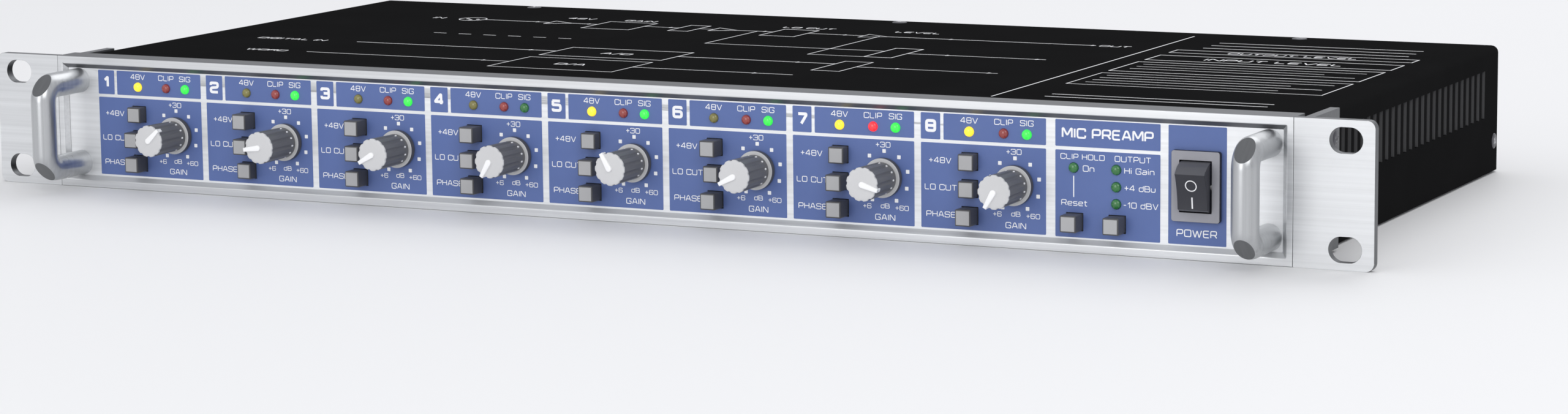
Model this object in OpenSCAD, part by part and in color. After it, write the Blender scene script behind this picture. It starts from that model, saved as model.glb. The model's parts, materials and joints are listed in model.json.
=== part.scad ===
// Rack microphone preamp, eight channels, one rack unit high.
// X runs to the right seen from the front, Y to the back, Z up. The origin is
// the middle of the four rack slots, on the front face of the two ears.

/* [Rack mounting] */
// overall width over both ears
rack_w = 482.6; // [482:0.1:483]
// panel height, one rack unit
rack_h = 43.8; // [43.4:0.1:44]
// rack slot spacing across
slot_dx = 465.1; // [464:0.1:466]
// rack slot spacing up
slot_dz = 31.75; // [31.5:0.05:32]
// rack slot length
slot_len = 10; // [8:0.1:12]
// rack slot height
slot_h = 7.6; // [6:0.1:8]
// ear plate thickness
ear_t = 3; // [2:0.1:4]
// how far the ear's side flange runs back
flange_len = 32.6; // [20:0.1:50]
// corner radius of the ear plate
ear_r = 2.5; // [1:0.1:5]

/* [Case] */
// case width, between the side flanges
case_w = 433.4; // [430:0.1:434]
// top of the case above the rack centre line
case_top = 20.6; // [19:0.1:21.5]
// underside of the case below the rack centre line
case_bot = 21.1; // [19:0.1:21.5]
// depth of the case behind the rack face
case_d = 210; // [180:1:260]
// sheet steel thickness
sheet = 1.2; // [0.8:0.1:2]
// bend radius of the cover
bend_r = 2.4; // [1:0.1:4]
// number of cooling slots in each side
vent_n = 26; // [0:1:30]
// spacing of the cooling slots
vent_pitch = 6.086; // [5:0.001:8]
// height of one cooling slot
vent_h = 15.8; // [5:0.1:20]
// width of one cooling slot
vent_w = 3.2; // [1:0.1:4]

/* [Front frame and plate] */
// width of the centre frame
frame_w = 433.6; // [430:0.1:434]
// depth of the centre frame
frame_d = 10; // [6:0.1:14]
// width of the frame's flat face strip
strip = 2.45; // [1:0.05:4]
// width of the bevel inside the face strip
bevel = 1.6; // [0.5:0.05:3]
// how deep the front plate lies behind the frame's face
recess = 1.4; // [0.5:0.1:3]
// front plate thickness
plate_t = 2; // [1:0.1:3]

/* [Channels] */
// spacing of the channel strips
ch_pitch = 42.86; // [38:0.01:46]
// centre of the first gain knob
knob_x = -170.63; // [-175:0.01:-165]
// height of the gain knobs
knob_z = -2.87; // [-8:0.01:4]
// knob skirt radius
skirt_r = 6.05; // [5:0.05:8]
// height of the knob skirt
skirt_h = 2.2; // [1:0.1:5]
// knob body radius
knob_r = 5.2; // [4:0.1:7]
// height of the knob above the plate
knob_h = 16.5; // [10:0.1:20]
// radius of the control's spindle
spindle_r = 3; // [2:0.1:3]
// number of finger grooves round the knob
grooves = 12; // [8:1:16]
// radius of a finger groove
groove_r = 1.3; // [0.5:0.05:1.4]
// depth of a finger groove
groove_deep = 0.5; // [0.1:0.05:1]
// centre of the first button column
btn_x = -185.3; // [-190:0.1:-180]
// height of the top button
btn_z = 3.45; // [0:0.05:6]
// spacing of the buttons
btn_dz = 8.2; // [7:0.1:10]
// width of a button cap
btn_w = 5.1; // [4:0.1:6]
// how far a released button stands out of the plate
btn_out = 5.8; // [4:0.1:8]
// travel of a button
btn_travel = 2.2; // [1:0.1:3]
// indicator lamp radius
led_r = 1.5; // [1:0.1:2.5]

/* [Power switch] */
// centre of the power switch
pwr_x = 187; // [185:0.1:189]
// bezel width
bezel_w = 15; // [13:0.1:17]
// bezel height
bezel_h = 21; // [18:0.1:24]
// radius of the rocker about its pivot
rocker_r = 7.45; // [6:0.05:8]
// width of the rocker
rocker_w = 9.4; // [6:0.1:9.4]
// tilt of the rocker in the on position
rocker_tilt = 14; // [8:0.5:18]

/* [Handles] */
// distance of each handle from the middle
handle_x = 209; // [200:0.1:212]
// spacing of the two posts of a handle
handle_dz = 27.6; // [24:0.1:32]
// handle rod radius
handle_r = 4.1; // [3:0.1:5]
// distance of the handle bar in front of the rack face
handle_out = 19; // [15:0.1:40]
// radius of the screw that pulls a handle to the plate
handle_bolt_r = 2; // [1.5:0.1:3]
// bend radius of the handle rod
handle_bend = 5; // [4.5:0.1:10]
// distance of the flat cut from the middle of the bend
handle_cut = 7.8; // [6:0.1:10]

/* [Rear connectors] */
// first microphone socket, counted from the middle towards the left side
mic_x = 0.8; // [-5:0.1:5]
// spacing of the microphone sockets
mic_pitch = 27; // [26:0.1:28]
// height of the microphone sockets
mic_z = 2; // [-4:0.1:6]
// radius of a microphone socket shell
mic_r = 12; // [11:0.1:13]
// radius of the hole for a jack plug
jack_r = 3.2; // [3:0.05:3.4]
// first line output jack, counted from the right side seen from the front
line_x = -142.3; // [-150:0.1:-135]
// spacing of the line output jacks
line_pitch = 16.5; // [15:0.1:18]
// height of the line output jacks
line_z = -7.3; // [-10:0.1:0]
// middle of the mains inlet
mains_x = 199; // [197:0.1:200]
// middle of the mode switch
mode_x = 138.9; // [137:0.1:142]
// middle of the first optical port
optical_x = 109.05; // [106:0.05:111]
// spacing of the two optical ports
optical_dx = 15.5; // [12:0.1:18]
// middle of the 25-way connector
dsub_x = 72.5; // [70:0.1:76]
// middle of the round clock socket
bnc_x = 30.3; // [28:0.1:34]
// travel of a socket latch
latch_travel = 1.2; // [0.5:0.1:2]

/* [Hidden] */
$fn = 48;
e = 0.01;
chs = [0:7];
// plate face, and the face of the rear panel
py = recess;
ry = case_d - sheet;
// inner sheet faces
inx = case_w/2 - sheet;
// knob pointer, degrees clockwise from the top, one for each channel
turn = [47, -98, -120, -150, -30, -117, 107, -150];
// which buttons are latched in: supply, low cut, phase
in48 = [1, 0, 0, 0, 1, 0, 1, 1];
inlc = [0, 0, 0, 0, 0, 1, 0, 1];
inph = [0, 1, 0, 0, 0, 0, 0, 0];
// lamps of a channel: their height, and how far each is from the button column
led_z = 12.45;
led_dx = [-0.17, 11.03, 18.5];
// master lamps, and the two master buttons
mled = [[148.17, 3.38], [161.67, 3.38], [161.67, -1.75], [161.67, -6.83]];
mbtn = [148.5, 162.0];
mbtn_z = -12.8;
// depth of the rocker's pivot behind the rack face, and the radius of its pins
pivot_y = 0.8;
pin_r = 1;
// fixing screws: on the cover's rear edge, low on the two sides, and in the side flanges
top_screws = [-149, 0, 149];
top_screw_y = 203;
side_screws = [40.8, 204.6];
side_screw_z = -11;
flange_screws = [-12, 12];
flange_screw_y = 26;
// first cooling slot, and the foot of the slots
vent_y = 39.2;
vent_z = -2.2;
// parts that turn in from the cover's rear edge end at this height
lip_w = 213.5;
lip_z = 18.2;
// length of a cutter that goes right through a sheet
thru = 8;
// heights of the rear connectors
mode_z = 9.55;
optical_z = 8.25;
dsub_z = 10.3;
bnc_z = 9.5;
// body sizes of the rear connectors
mains_body = [20, 27];
mains_flange = [24, 31];
mains_recess = [8.3, 12.2];
mains_corner = 4;
mode_body = [16.4, 8.3];
optical_body = 9.95;
dsub_shell = [39, 8.4];
dsub_bolt_dx = 23.52;
bnc_r = 4.85;
jack_bush_r = 4.75;
// microphone socket: core, the gap round it, its contacts, fixing screws and latch slot
mic_core_r = 8;
mic_gap_r = 9.6;
mic_pins = [[-5.6, 0], [5.6, 0], [0, -5.6]];
mic_screw = [9.5, 12];
latch_z = 10.65;
// circuit boards: underside, thickness, and the level that their parts stand on
board_z = -15;
board_t = 1.6;
stage_x = knob_x - 14;
stage_pitch = 0.9*ch_pitch;
on_board = board_z + board_t - 0.1;
// control bodies behind the plate
pot = 10.6;
key = 7;
stem = 3;
silver = [0.82, 0.83, 0.84];
black = [0.10, 0.10, 0.11];
grey = [0.24, 0.24, 0.25];

// a cylinder along +Y from the point [x, y, z]
module yrod(x, y, z, r, h) translate([x, y, z]) rotate([-90, 0, 0]) cylinder(r = r, h = h);
// a box centred on x and z that starts at y
module ybox(x, y, z, w, d, h) translate([x - w/2, y, z - h/2]) cube([w, d, h]);
// a flat slot shape, long in X
module stadium(l, w) union() {
  square([l - w, w], center = true);
  for (s = [-1, 1]) translate([s*(l - w)/2, 0]) circle(r = w/2);
}
// a rectangle with round corners
module rrect(w, h, r) union() {
  square([w - 2*r, h], center = true);
  square([w, h - 2*r], center = true);
  for (a = [-1, 1], b = [-1, 1]) translate([a*(w/2 - r), b*(h/2 - r)]) circle(r = r);
}
// stands a 2-D shape up at y, drawn in X and Z, d deep towards the back
module up(x, y, z, d) translate([x, y + d, z]) rotate([90, 0, 0]) linear_extrude(height = d) children();
// a cylinder along X, centred on x
module xrod(x, y, z, r, l) translate([x - l/2, y, z]) rotate([0, 90, 0]) cylinder(r = r, h = l);
// a hole in the side of the case, s is -1 or 1
module side_hole(s, y, z, r = 1.6) xrod(s*case_w/2, y, z, r, thru);

// ---- sheet-metal case ----
module cover_shape(o) {
  w = case_w/2 - o;
  t = case_top - o;
  r = bend_r - o;
  union() {
    translate([-w, -case_bot]) square([2*w, t + case_bot - r]);
    translate([-w + r, -case_bot]) square([2*w - 2*r, t + case_bot]);
    for (s = [-1, 1]) translate([s*(w - r), t - r]) circle(r = r);
  }
}
module vents() for (s = [-1, 1], i = [0:vent_n - 1])
  translate([s*case_w/2 - thru/2, vent_y + i*vent_pitch - vent_w/2, vent_z]) cube([thru, vent_w, vent_h]);
module top_cover() color(black) difference() {
  union() {
    difference() {
      up(0, frame_d, 0, case_d - frame_d) cover_shape(0);
      // open below
      translate([0, -1, 0]) up(0, frame_d, 0, case_d - frame_d + 2) translate([0, -2]) cover_shape(sheet);
      up(0, frame_d - 1, 0, case_d) cover_shape(sheet);
    }
    // the turned-in edge round the rear panel
    up(0, case_d - sheet, 0, sheet) difference() {
      cover_shape(0);
      translate([-lip_w, -case_bot - 1]) square([2*lip_w, case_bot + 1 + lip_z]);
    }
  }
  vents();
  for (x = top_screws) translate([x, top_screw_y, case_top - thru/2]) cylinder(r = 1.6, h = thru);
  for (s = [-1, 1], y = side_screws) side_hole(s, y, side_screw_z);
  for (s = [-1, 1], z = flange_screws) side_hole(s, flange_screw_y, z);
}
module chassis_tray() color(grey) difference() {
  union() {
    // floor with its turned-up rear edge
    translate([-inx + 0.1, frame_d, -case_bot]) cube([2*inx - 0.2, case_d - frame_d, sheet]);
    translate([-lip_w + 0.1, case_d - sheet, -case_bot]) cube([2*lip_w - 0.2, sheet, 1.7]);
    // rear panel, just inside the cover's edge
    translate([-inx + 0.1, ry - sheet, -case_bot]) cube([2*inx - 0.2, sheet, case_top + case_bot - 1.4]);
    // front wall, cut away for the switches and the gain controls
    difference() {
      translate([-inx + 0.1, frame_d, -case_bot]) cube([2*inx - 0.2, sheet, case_top + case_bot - 1.4]);
      ybox(-4.5, frame_d - 1, -0.5, 418, 4, 34);
    }
    // side tabs that the cover is screwed to
    for (s = [-1, 1]) translate([s*(inx - 0.7) - 0.6, frame_d, -case_bot])
      cube([1.2, ry - frame_d - sheet, 14]);
  }
  rear_cuts();
  for (s = [-1, 1], y = side_screws) side_hole(s, y, side_screw_z);
  for (s = [-1, 1]) side_hole(s, flange_screw_y, flange_screws[0]);
}
// holes in the rear panel
module rear_hole(x, z, r) yrod(x, ry - thru/2, z, r, thru);
module rear_window(x, z, w, h) ybox(x, ry - thru/2, z, w, thru, h);
module rear_cuts() {
  for (k = chs) {
    rear_hole(-(mic_x + k*mic_pitch), mic_z, mic_r + 0.05);
    for (s = [-1, 1]) rear_hole(-(mic_x + k*mic_pitch + s*mic_screw[0]), mic_z - s*mic_screw[1], 1.3);
    rear_hole(-(line_x + k*line_pitch), line_z, jack_bush_r + 0.05);
  }
  rear_window(mains_x, 0, mains_body[0] + 0.2, mains_body[1] + 0.2);
  rear_window(mode_x, mode_z, mode_body[0] + 0.1, mode_body[1] + 0.1);
  for (i = [0, 1]) rear_window(optical_x + i*optical_dx, optical_z, optical_body + 0.1, optical_body + 0.1);
  rear_hole(bnc_x, bnc_z, bnc_r + 0.05);
  up(dsub_x, ry - thru/2, dsub_z, thru) dshape(dsub_shell[0] + 0.4, dsub_shell[1] + 0.4);
  for (s = [-1, 1]) rear_hole(dsub_x + s*dsub_bolt_dx, dsub_z, 1.6);
}
// outline of a D connector, wide side up
module dshape(w, h) polygon([[-w/2, h/2 - 1], [-w/2 + 1, h/2], [w/2 - 1, h/2], [w/2, h/2 - 1],
  [w/2 - 1.4, -h/2 + 1], [w/2 - 2.4, -h/2], [-w/2 + 2.4, -h/2], [-w/2 + 1.4, -h/2 + 1]]);

// ---- front frame, plate, ears, handles ----
module front_frame() color(silver) difference() {
  ybox(0, 0, 0, frame_w, frame_d, rack_h);
  // bevelled opening in front of the plate
  hull() {
    ybox(0, -e, 0, frame_w - 4, e, rack_h - 2*strip);
    ybox(0, recess, 0, frame_w - 4 - 2*bevel, e, rack_h - 2*strip - 2*bevel);
  }
  // pocket that holds the plate from behind
  ybox(0, recess, 0, frame_w - 3, frame_d, rack_h - 4.8);
}
module front_plate() color(silver) difference() {
  ybox(0, recess, 0, frame_w - 3.2, plate_t, rack_h - 5);
  for (k = chs) {
    yrod(knob_x + k*ch_pitch, 0, knob_z, 3.5, thru);
    for (b = [0:2]) button_hole(btn_x + k*ch_pitch, btn_z - b*btn_dz);
    for (x = led_dx) yrod(btn_x + x + k*ch_pitch, 0, led_z, led_r + 0.05, thru);
  }
  for (m = mled) yrod(m[0], 0, m[1], led_r + 0.1, thru);
  for (x = mbtn) button_hole(x, mbtn_z);
  ybox(pwr_x, 0, 0, bezel_w - 1.4, thru, bezel_h - 1.4);
  for (s = [-1, 1], z = [-1, 1]) yrod(s*handle_x, 0, z*handle_dz/2, handle_bolt_r + 0.05, thru);
}
module button_hole(x, z) ybox(x, 0, z, btn_w + 0.4, thru, btn_w + 0.4);
module ear(s) difference() {
  union() {
    up(s*(frame_w/2 + (rack_w - frame_w)/4), 0, 0, ear_t) union() {
      rrect((rack_w - frame_w)/2, rack_h, ear_r);
      translate([-s*(rack_w - frame_w)/8, 0]) square([(rack_w - frame_w)/4, rack_h], center = true);
    }
    ybox(s*(frame_w/2 + ear_t/2), 0, 0, ear_t, flange_len, rack_h - 2);
  }
  for (z = [-1, 1]) up(s*slot_dx/2, -1, z*slot_dz/2, ear_t + 2) stadium(slot_len, slot_h);
  for (z = flange_screws) side_hole(s, flange_screw_y, z, 1.7);
}
module rack_ears() color(silver) for (s = [-1, 1]) ear(s);
module handle() difference() {
  union() {
    for (z = [-1, 1]) {
      yrod(0, handle_bend - handle_out, z*handle_dz/2, handle_r, handle_out - handle_bend + recess);
      handle_corner(z) rotate([0, 90, 0]) rotate([0, 0, z > 0 ? 180 : 270]) rotate_extrude(angle = 90)
        translate([handle_bend, 0]) circle(r = handle_r);
      yrod(0, recess - e, z*handle_dz/2, handle_bolt_r, 8);
    }
    translate([0, -handle_out, handle_bend - handle_dz/2])
      cylinder(r = handle_r, h = handle_dz - 2*handle_bend);
  }
  // flat cut across each outer corner
  for (z = [-1, 1]) handle_corner(z) rotate([-z*45, 0, 0])
    translate([-handle_out/2, -handle_cut - handle_out, -handle_out/2]) cube(handle_out);
}
module handle_corner(z) translate([0, handle_bend - handle_out, z*(handle_dz/2 - handle_bend)]) children();
module handles() color(silver) for (s = [-1, 1]) translate([s*handle_x, 0, 0]) handle();

// ---- lamps, knobs, buttons, power switch ----
module status_leds() color([0.3, 0.6, 0.3]) {
  for (k = chs, x = led_dx) yrod(btn_x + x + k*ch_pitch, 0.9, led_z, led_r, 7);
  for (m = mled) yrod(m[0], 0.9, m[1], led_r, 7);
}
module gain_knob(k) color(grey) translate([knob_x + k*ch_pitch, py, knob_z]) rotate([0, turn[k], 0])
rotate([90, 0, 0]) union() {
  translate([0, 0, 0.3]) cylinder(r = skirt_r, h = skirt_h);
  difference() {
    translate([0, 0, skirt_h]) cylinder(r = knob_r, h = knob_h - skirt_h);
    for (i = [0:grooves - 1]) rotate([0, 0, (i + 0.5)*360/grooves])
      translate([knob_r + groove_r - groove_deep, 0, skirt_h + 0.3])
        cylinder(r = groove_r, h = knob_h, $fn = 24);
  }
  // raised pointer
  translate([-0.6, 0, 12]) cube([1.2, 5.6, knob_h - 12 + 0.35]);
  // spindle, free in the control's bush
  translate([0, 0, -14]) cylinder(r = spindle_r, h = 15);
}
module push_button(x, z, pressed) color(grey) translate([x, py + pressed*btn_travel, z]) union() {
  ybox(0, -btn_out, 0, btn_w, btn_out + 3, btn_w);
  ybox(0, 3 - e, 0, stem, 9, stem);
}
module power_rocker() color(black) translate([pwr_x, pivot_y, 0]) rotate([rocker_tilt, 0, 0]) difference() {
  union() {
    xrod(0, 0, 0, rocker_r, rocker_w);
    // pivot pins
    xrod(0, 0, 0, pin_r, rocker_w + 3);
  }
  // dished front face
  xrod(0, -5 - 27.4, 0, 28, bezel_w, $fn = 96);
  ybox(0, -5 - rocker_r, 0, bezel_w, rocker_r, 3*rocker_r);
  ybox(0, 3, 0, bezel_w, rocker_r, 3*rocker_r);
}

// ---- rear sockets ----
module mains_inlet() color(black) translate([mains_x, 0, 0]) union() {
  difference() {
    union() {
      up(0, ry, 0, 2.6) rrect(mains_flange[0], mains_flange[1], 1.5);
      ybox(0, ry - 26, 0, mains_body[0], 26.5, mains_body[1]);
    }
    up(0, ry - 15, 0, 20) mains_outline(mains_recess[0], mains_recess[1], mains_corner);
  }
  for (b = [[-2, 7], [2, 0], [-2, -7]]) ybox(b[0], ry - 16, b[1], 4, 13.5, 2);
}
// half outline of the recess for a mains plug, two of its corners cut
module mains_outline(w, h, c) polygon([[-w, -h], [w - c, -h], [w, c - h], [w, h - c], [w - c, h], [-w, h]]);
module optical_port() union() {
  difference() {
    ybox(0, ry - 12, 0, optical_body, 13.2, optical_body);
    ybox(0, ry + 0.2, 0, optical_body - 1.35, 2, optical_body - 1.35);
  }
  // spring door, closed
  ybox(0, ry + 0.1, 0, optical_body - 2.35, 0.5, optical_body - 2.35);
}
module optical_ports() color(black) for (i = [0, 1])
  translate([optical_x + i*optical_dx, 0, optical_z]) optical_port();
module mode_switch() color([0.8, 0.2, 0.3]) difference() {
  ybox(mode_x, ry - 5, mode_z, mode_body[0], 6, mode_body[1]);
  // six windows with a small lever in each, 2.54 mm apart
  for (i = [0:5]) translate([mode_x + (i - 2.5)*2.54, ry, mode_z]) difference() {
    ybox(0, 0.3, 0, 1.5, 2, 4.4);
    ybox(0, 0, i == 2 || i == 3 ? -1.1 : 1.1, 1.2, 1.3, 1.8);
  }
}
module dsub_connector() color(silver) translate([dsub_x, ry, dsub_z]) union() {
  difference() {
    up(0, -9, 0, 15.2) dshape(dsub_shell[0], dsub_shell[1]);
    // two rows of contacts, 2.76 mm apart
    for (i = [0:12]) yrod((i - 6)*2.76, 3, 1.4, 0.5, 5);
    for (i = [0:11]) yrod((i - 5.5)*2.76, 3, -1.4, 0.5, 5);
  }
  up(0, -sheet - 1.2, 0, 1.1) rrect(53, 12.4, 1);
  for (s = [-1, 1]) {
    yrod(s*dsub_bolt_dx, -2.3, 0, 1.5, 4);
    difference() {
      yrod(s*dsub_bolt_dx, 0, 0, 2.7, 6.5, $fn = 6);
      yrod(s*dsub_bolt_dx, 2, 0, 1.2, 6);
    }
  }
}
module bnc_socket() color(silver) translate([bnc_x, ry, bnc_z]) union() {
  difference() {
    union() {
      yrod(0, -12, 0, bnc_r, 28);
      yrod(0, 0, 0, 8, 0.8);
      yrod(0, 0.7, 0, 7.2, 2.4, $fn = 6);
      yrod(0, -14, 0, 7, 12);
    }
    yrod(0, 6, 0, bnc_r - 0.95, 12);
  }
  yrod(0, 5.9, 0, 2.3, 8);
  // bayonet lugs
  for (s = [-1, 1]) xrod(s*5.1, 12.4, 0, 0.9, 2.2);
}
module line_jacks() color(black) for (k = chs) translate([-(line_x + k*line_pitch), 0, line_z]) difference() {
  union() {
    ybox(0, ry - 24, 0, 14, 22.8, 12);
    yrod(0, ry - 2, 0, jack_bush_r, 3.9);
    yrod(0, ry, 0, jack_bush_r + 0.75, 1.5);
  }
  yrod(0, ry - 21, 0, jack_r, 26);
}
module combo_cuts() {
  yrod(0, ry - 22, 0, jack_r, 30);
  for (p = mic_pins) yrod(p[0], ry - 12, p[1], 1.15, 20);
  // slot that the latch slides in
  ybox(0, ry - 20, latch_z, 5.4, 30, 1.5);
}
// shell with its fixing flange, which goes round a microphone plug's sleeve
module combo_shell() difference() {
  union() {
    yrod(0, ry - 13, 0, mic_r, 14.4);
    ybox(0, ry - 3.4, 0, 26, 2.2, 28.6);
  }
  yrod(0, ry - 14, 0, mic_gap_r, 20);
  combo_cuts();
  for (s = [-1, 1]) yrod(-s*mic_screw[0], ry - 8, -s*mic_screw[1], 1.25, 8);
}
// insert that holds the contacts
module combo_insert() difference() {
  union() {
    yrod(0, ry - 24, 0, mic_r, 10.98);
    yrod(0, ry - 14, 0, mic_core_r, 14);
  }
  combo_cuts();
}
module combo_sockets() color(black) for (k = chs) translate([-(mic_x + k*mic_pitch), 0, mic_z]) {
  combo_shell();
  combo_insert();
}
module input_latch(k) color(silver) translate([-(mic_x + k*mic_pitch), 0, mic_z]) union() {
  ybox(0, ry + 1.4 + latch_travel + 0.2, latch_z, 10.2, 1.5, 5.6);
  ybox(0, ry - 16, latch_z, 5, 18.9, 1.2);
}

// ---- inside ----
// a board, and a post under it
module board(x, y, w, d) translate([x, y, board_z]) cube([w, d, board_t]);
module spacer(x, y) translate([x, y, sheet - case_bot]) cylinder(r = 3, h = board_z + case_bot - sheet + 0.1);
// a boxy part or a can that stands on a board
module chip(x, y, w, d, h) translate([x, y, on_board]) cube([w, d, h]);
module can(x, y, r, h) translate([x, y, on_board]) cylinder(r = r, h = h);
module signal_boards() color([0.1, 0.35, 0.2]) difference() {
  union() {
    board(-205, 24, 323, 178);
    board(117, 180, 33, 22);
    for (x = [-195, -90, 15, 108], y = [34, 110, 165]) spacer(x, y);
    // preamp stages, one row of parts for each channel
    for (k = chs, row = [0, 1]) {
      chip(stage_x + k*stage_pitch, 60 + 24*row, 10, 8, 3.1);
      can(stage_x + 20 + k*stage_pitch, 74 + 22*row, 4, 11);
    }
    // output processor
    chip(20, 120, 24, 24, 2.1);
    // upright front board
    translate([-207, 19, -16]) cube([384, board_t, 32]);
    for (k = chs) {
      ybox(knob_x + k*ch_pitch, 8, knob_z, pot, 11.1, pot);
      for (b = [0:2]) ybox(btn_x + k*ch_pitch, 9.5, btn_z - b*btn_dz, key, 9.6, key);
    }
    for (x = mbtn) ybox(x, 9.5, mbtn_z, key, 9.6, key);
  }
  // room for the spindles and the button stems
  for (k = chs) {
    yrod(knob_x + k*ch_pitch, 5, knob_z, spindle_r + 0.05, 12);
    for (b = [0:2]) ybox(btn_x + k*ch_pitch, 8, btn_z - b*btn_dz, stem + 0.4, 10.5, stem + 0.4);
  }
  for (x = mbtn) ybox(x, 8, mbtn_z, stem + 0.4, 10.5, stem + 0.4);
}
module power_supply() color([0.75, 0.65, 0.3]) union() {
  board(126, 40, 80, 128);
  for (x = [134, 198], y = [50, 158]) spacer(x, y);
  // transformer, filter, reservoir cans, heat sink and mains filter
  chip(146, 84, 34, 30, 24);
  can(132, 122, 5, 16);
  for (y = [60, 78]) can(196, y, 7, 22);
  chip(130, 60, 3, 46, 26);
  chip(188, 128, 12, 24, 16);
}
module electronics() {
  signal_boards();
  power_supply();
}
module power_switch_body() color(black) difference() {
  union() {
    up(pwr_x, recess - 1.7, 0, 1.71) rrect(bezel_w, bezel_h, 0.8);
    ybox(pwr_x, recess, 0, bezel_w - 1.6, 18, bezel_h - 1.6);
  }
  ybox(pwr_x, -2, 0, 10, 12, 15.4);
  // bores for the rocker's pivot pins
  xrod(pwr_x, pivot_y, 0, pin_r + 0.05, rocker_w + 3.4);
}
// a screw that points down, with h mm of shank under its round head
module screw(h, r, head, shank = 1.5) union() {
  cylinder(r = r, h = head);
  translate([0, 0, -h]) cylinder(r = shank, h = h + 0.1);
}
module case_screws() color(grey) {
  for (x = top_screws) translate([x, top_screw_y, case_top]) screw(4, 2.6, 0.4);
  for (s = [-1, 1]) {
    for (y = side_screws) translate([s*case_w/2, y, side_screw_z]) rotate([0, s*90, 0]) screw(4, 2.6, 0.4);
    for (z = flange_screws) translate([s*(frame_w/2 + ear_t), flange_screw_y, z])
      rotate([0, s*90, 0]) screw(7, 3.5, 1.5);
  }
  for (k = chs, s = [-1, 1])
    translate([-(mic_x + k*mic_pitch + s*mic_screw[0]), ry, mic_z - s*mic_screw[1]])
      rotate([-90, 0, 0]) screw(6, 2.5, 1.6, 1.2);
}

// ---- one module for each moving piece ----
module gain_knob_1() gain_knob(0);
module gain_knob_2() gain_knob(1);
module gain_knob_3() gain_knob(2);
module gain_knob_4() gain_knob(3);
module gain_knob_5() gain_knob(4);
module gain_knob_6() gain_knob(5);
module gain_knob_7() gain_knob(6);
module gain_knob_8() gain_knob(7);
module button_48v_1() push_button(btn_x + 0*ch_pitch, btn_z, in48[0]);
module button_48v_2() push_button(btn_x + 1*ch_pitch, btn_z, in48[1]);
module button_48v_3() push_button(btn_x + 2*ch_pitch, btn_z, in48[2]);
module button_48v_4() push_button(btn_x + 3*ch_pitch, btn_z, in48[3]);
module button_48v_5() push_button(btn_x + 4*ch_pitch, btn_z, in48[4]);
module button_48v_6() push_button(btn_x + 5*ch_pitch, btn_z, in48[5]);
module button_48v_7() push_button(btn_x + 6*ch_pitch, btn_z, in48[6]);
module button_48v_8() push_button(btn_x + 7*ch_pitch, btn_z, in48[7]);
module button_locut_1() push_button(btn_x + 0*ch_pitch, btn_z - btn_dz, inlc[0]);
module button_locut_2() push_button(btn_x + 1*ch_pitch, btn_z - btn_dz, inlc[1]);
module button_locut_3() push_button(btn_x + 2*ch_pitch, btn_z - btn_dz, inlc[2]);
module button_locut_4() push_button(btn_x + 3*ch_pitch, btn_z - btn_dz, inlc[3]);
module button_locut_5() push_button(btn_x + 4*ch_pitch, btn_z - btn_dz, inlc[4]);
module button_locut_6() push_button(btn_x + 5*ch_pitch, btn_z - btn_dz, inlc[5]);
module button_locut_7() push_button(btn_x + 6*ch_pitch, btn_z - btn_dz, inlc[6]);
module button_locut_8() push_button(btn_x + 7*ch_pitch, btn_z - btn_dz, inlc[7]);
module button_phase_1() push_button(btn_x + 0*ch_pitch, btn_z - 2*btn_dz, inph[0]);
module button_phase_2() push_button(btn_x + 1*ch_pitch, btn_z - 2*btn_dz, inph[1]);
module button_phase_3() push_button(btn_x + 2*ch_pitch, btn_z - 2*btn_dz, inph[2]);
module button_phase_4() push_button(btn_x + 3*ch_pitch, btn_z - 2*btn_dz, inph[3]);
module button_phase_5() push_button(btn_x + 4*ch_pitch, btn_z - 2*btn_dz, inph[4]);
module button_phase_6() push_button(btn_x + 5*ch_pitch, btn_z - 2*btn_dz, inph[5]);
module button_phase_7() push_button(btn_x + 6*ch_pitch, btn_z - 2*btn_dz, inph[6]);
module button_phase_8() push_button(btn_x + 7*ch_pitch, btn_z - 2*btn_dz, inph[7]);
module clip_reset_button() push_button(mbtn[0], mbtn_z, 0);
module output_level_button() push_button(mbtn[1], mbtn_z, 0);
module input_latch_1() input_latch(0);
module input_latch_2() input_latch(1);
module input_latch_3() input_latch(2);
module input_latch_4() input_latch(3);
module input_latch_5() input_latch(4);
module input_latch_6() input_latch(5);
module input_latch_7() input_latch(6);
module input_latch_8() input_latch(7);

chassis_tray();
top_cover();
front_frame();
front_plate();
rack_ears();
handles();
status_leds();
power_switch_body();
power_rocker();
mains_inlet();
optical_ports();
mode_switch();
dsub_connector();
bnc_socket();
line_jacks();
combo_sockets();
electronics();
case_screws();
clip_reset_button();
output_level_button();
gain_knob_1();
gain_knob_2();
gain_knob_3();
gain_knob_4();
gain_knob_5();
gain_knob_6();
gain_knob_7();
gain_knob_8();
button_48v_1();
button_48v_2();
button_48v_3();
button_48v_4();
button_48v_5();
button_48v_6();
button_48v_7();
button_48v_8();
button_locut_1();
button_locut_2();
button_locut_3();
button_locut_4();
button_locut_5();
button_locut_6();
button_locut_7();
button_locut_8();
button_phase_1();
button_phase_2();
button_phase_3();
button_phase_4();
button_phase_5();
button_phase_6();
button_phase_7();
button_phase_8();
input_latch_1();
input_latch_2();
input_latch_3();
input_latch_4();
input_latch_5();
input_latch_6();
input_latch_7();
input_latch_8();
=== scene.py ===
"""Looks of the rack microphone preamp: finishes, printing, lamps and fine detail."""
import json
import math

import bmesh
import bpy
from mathutils import Matrix, Vector

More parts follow.
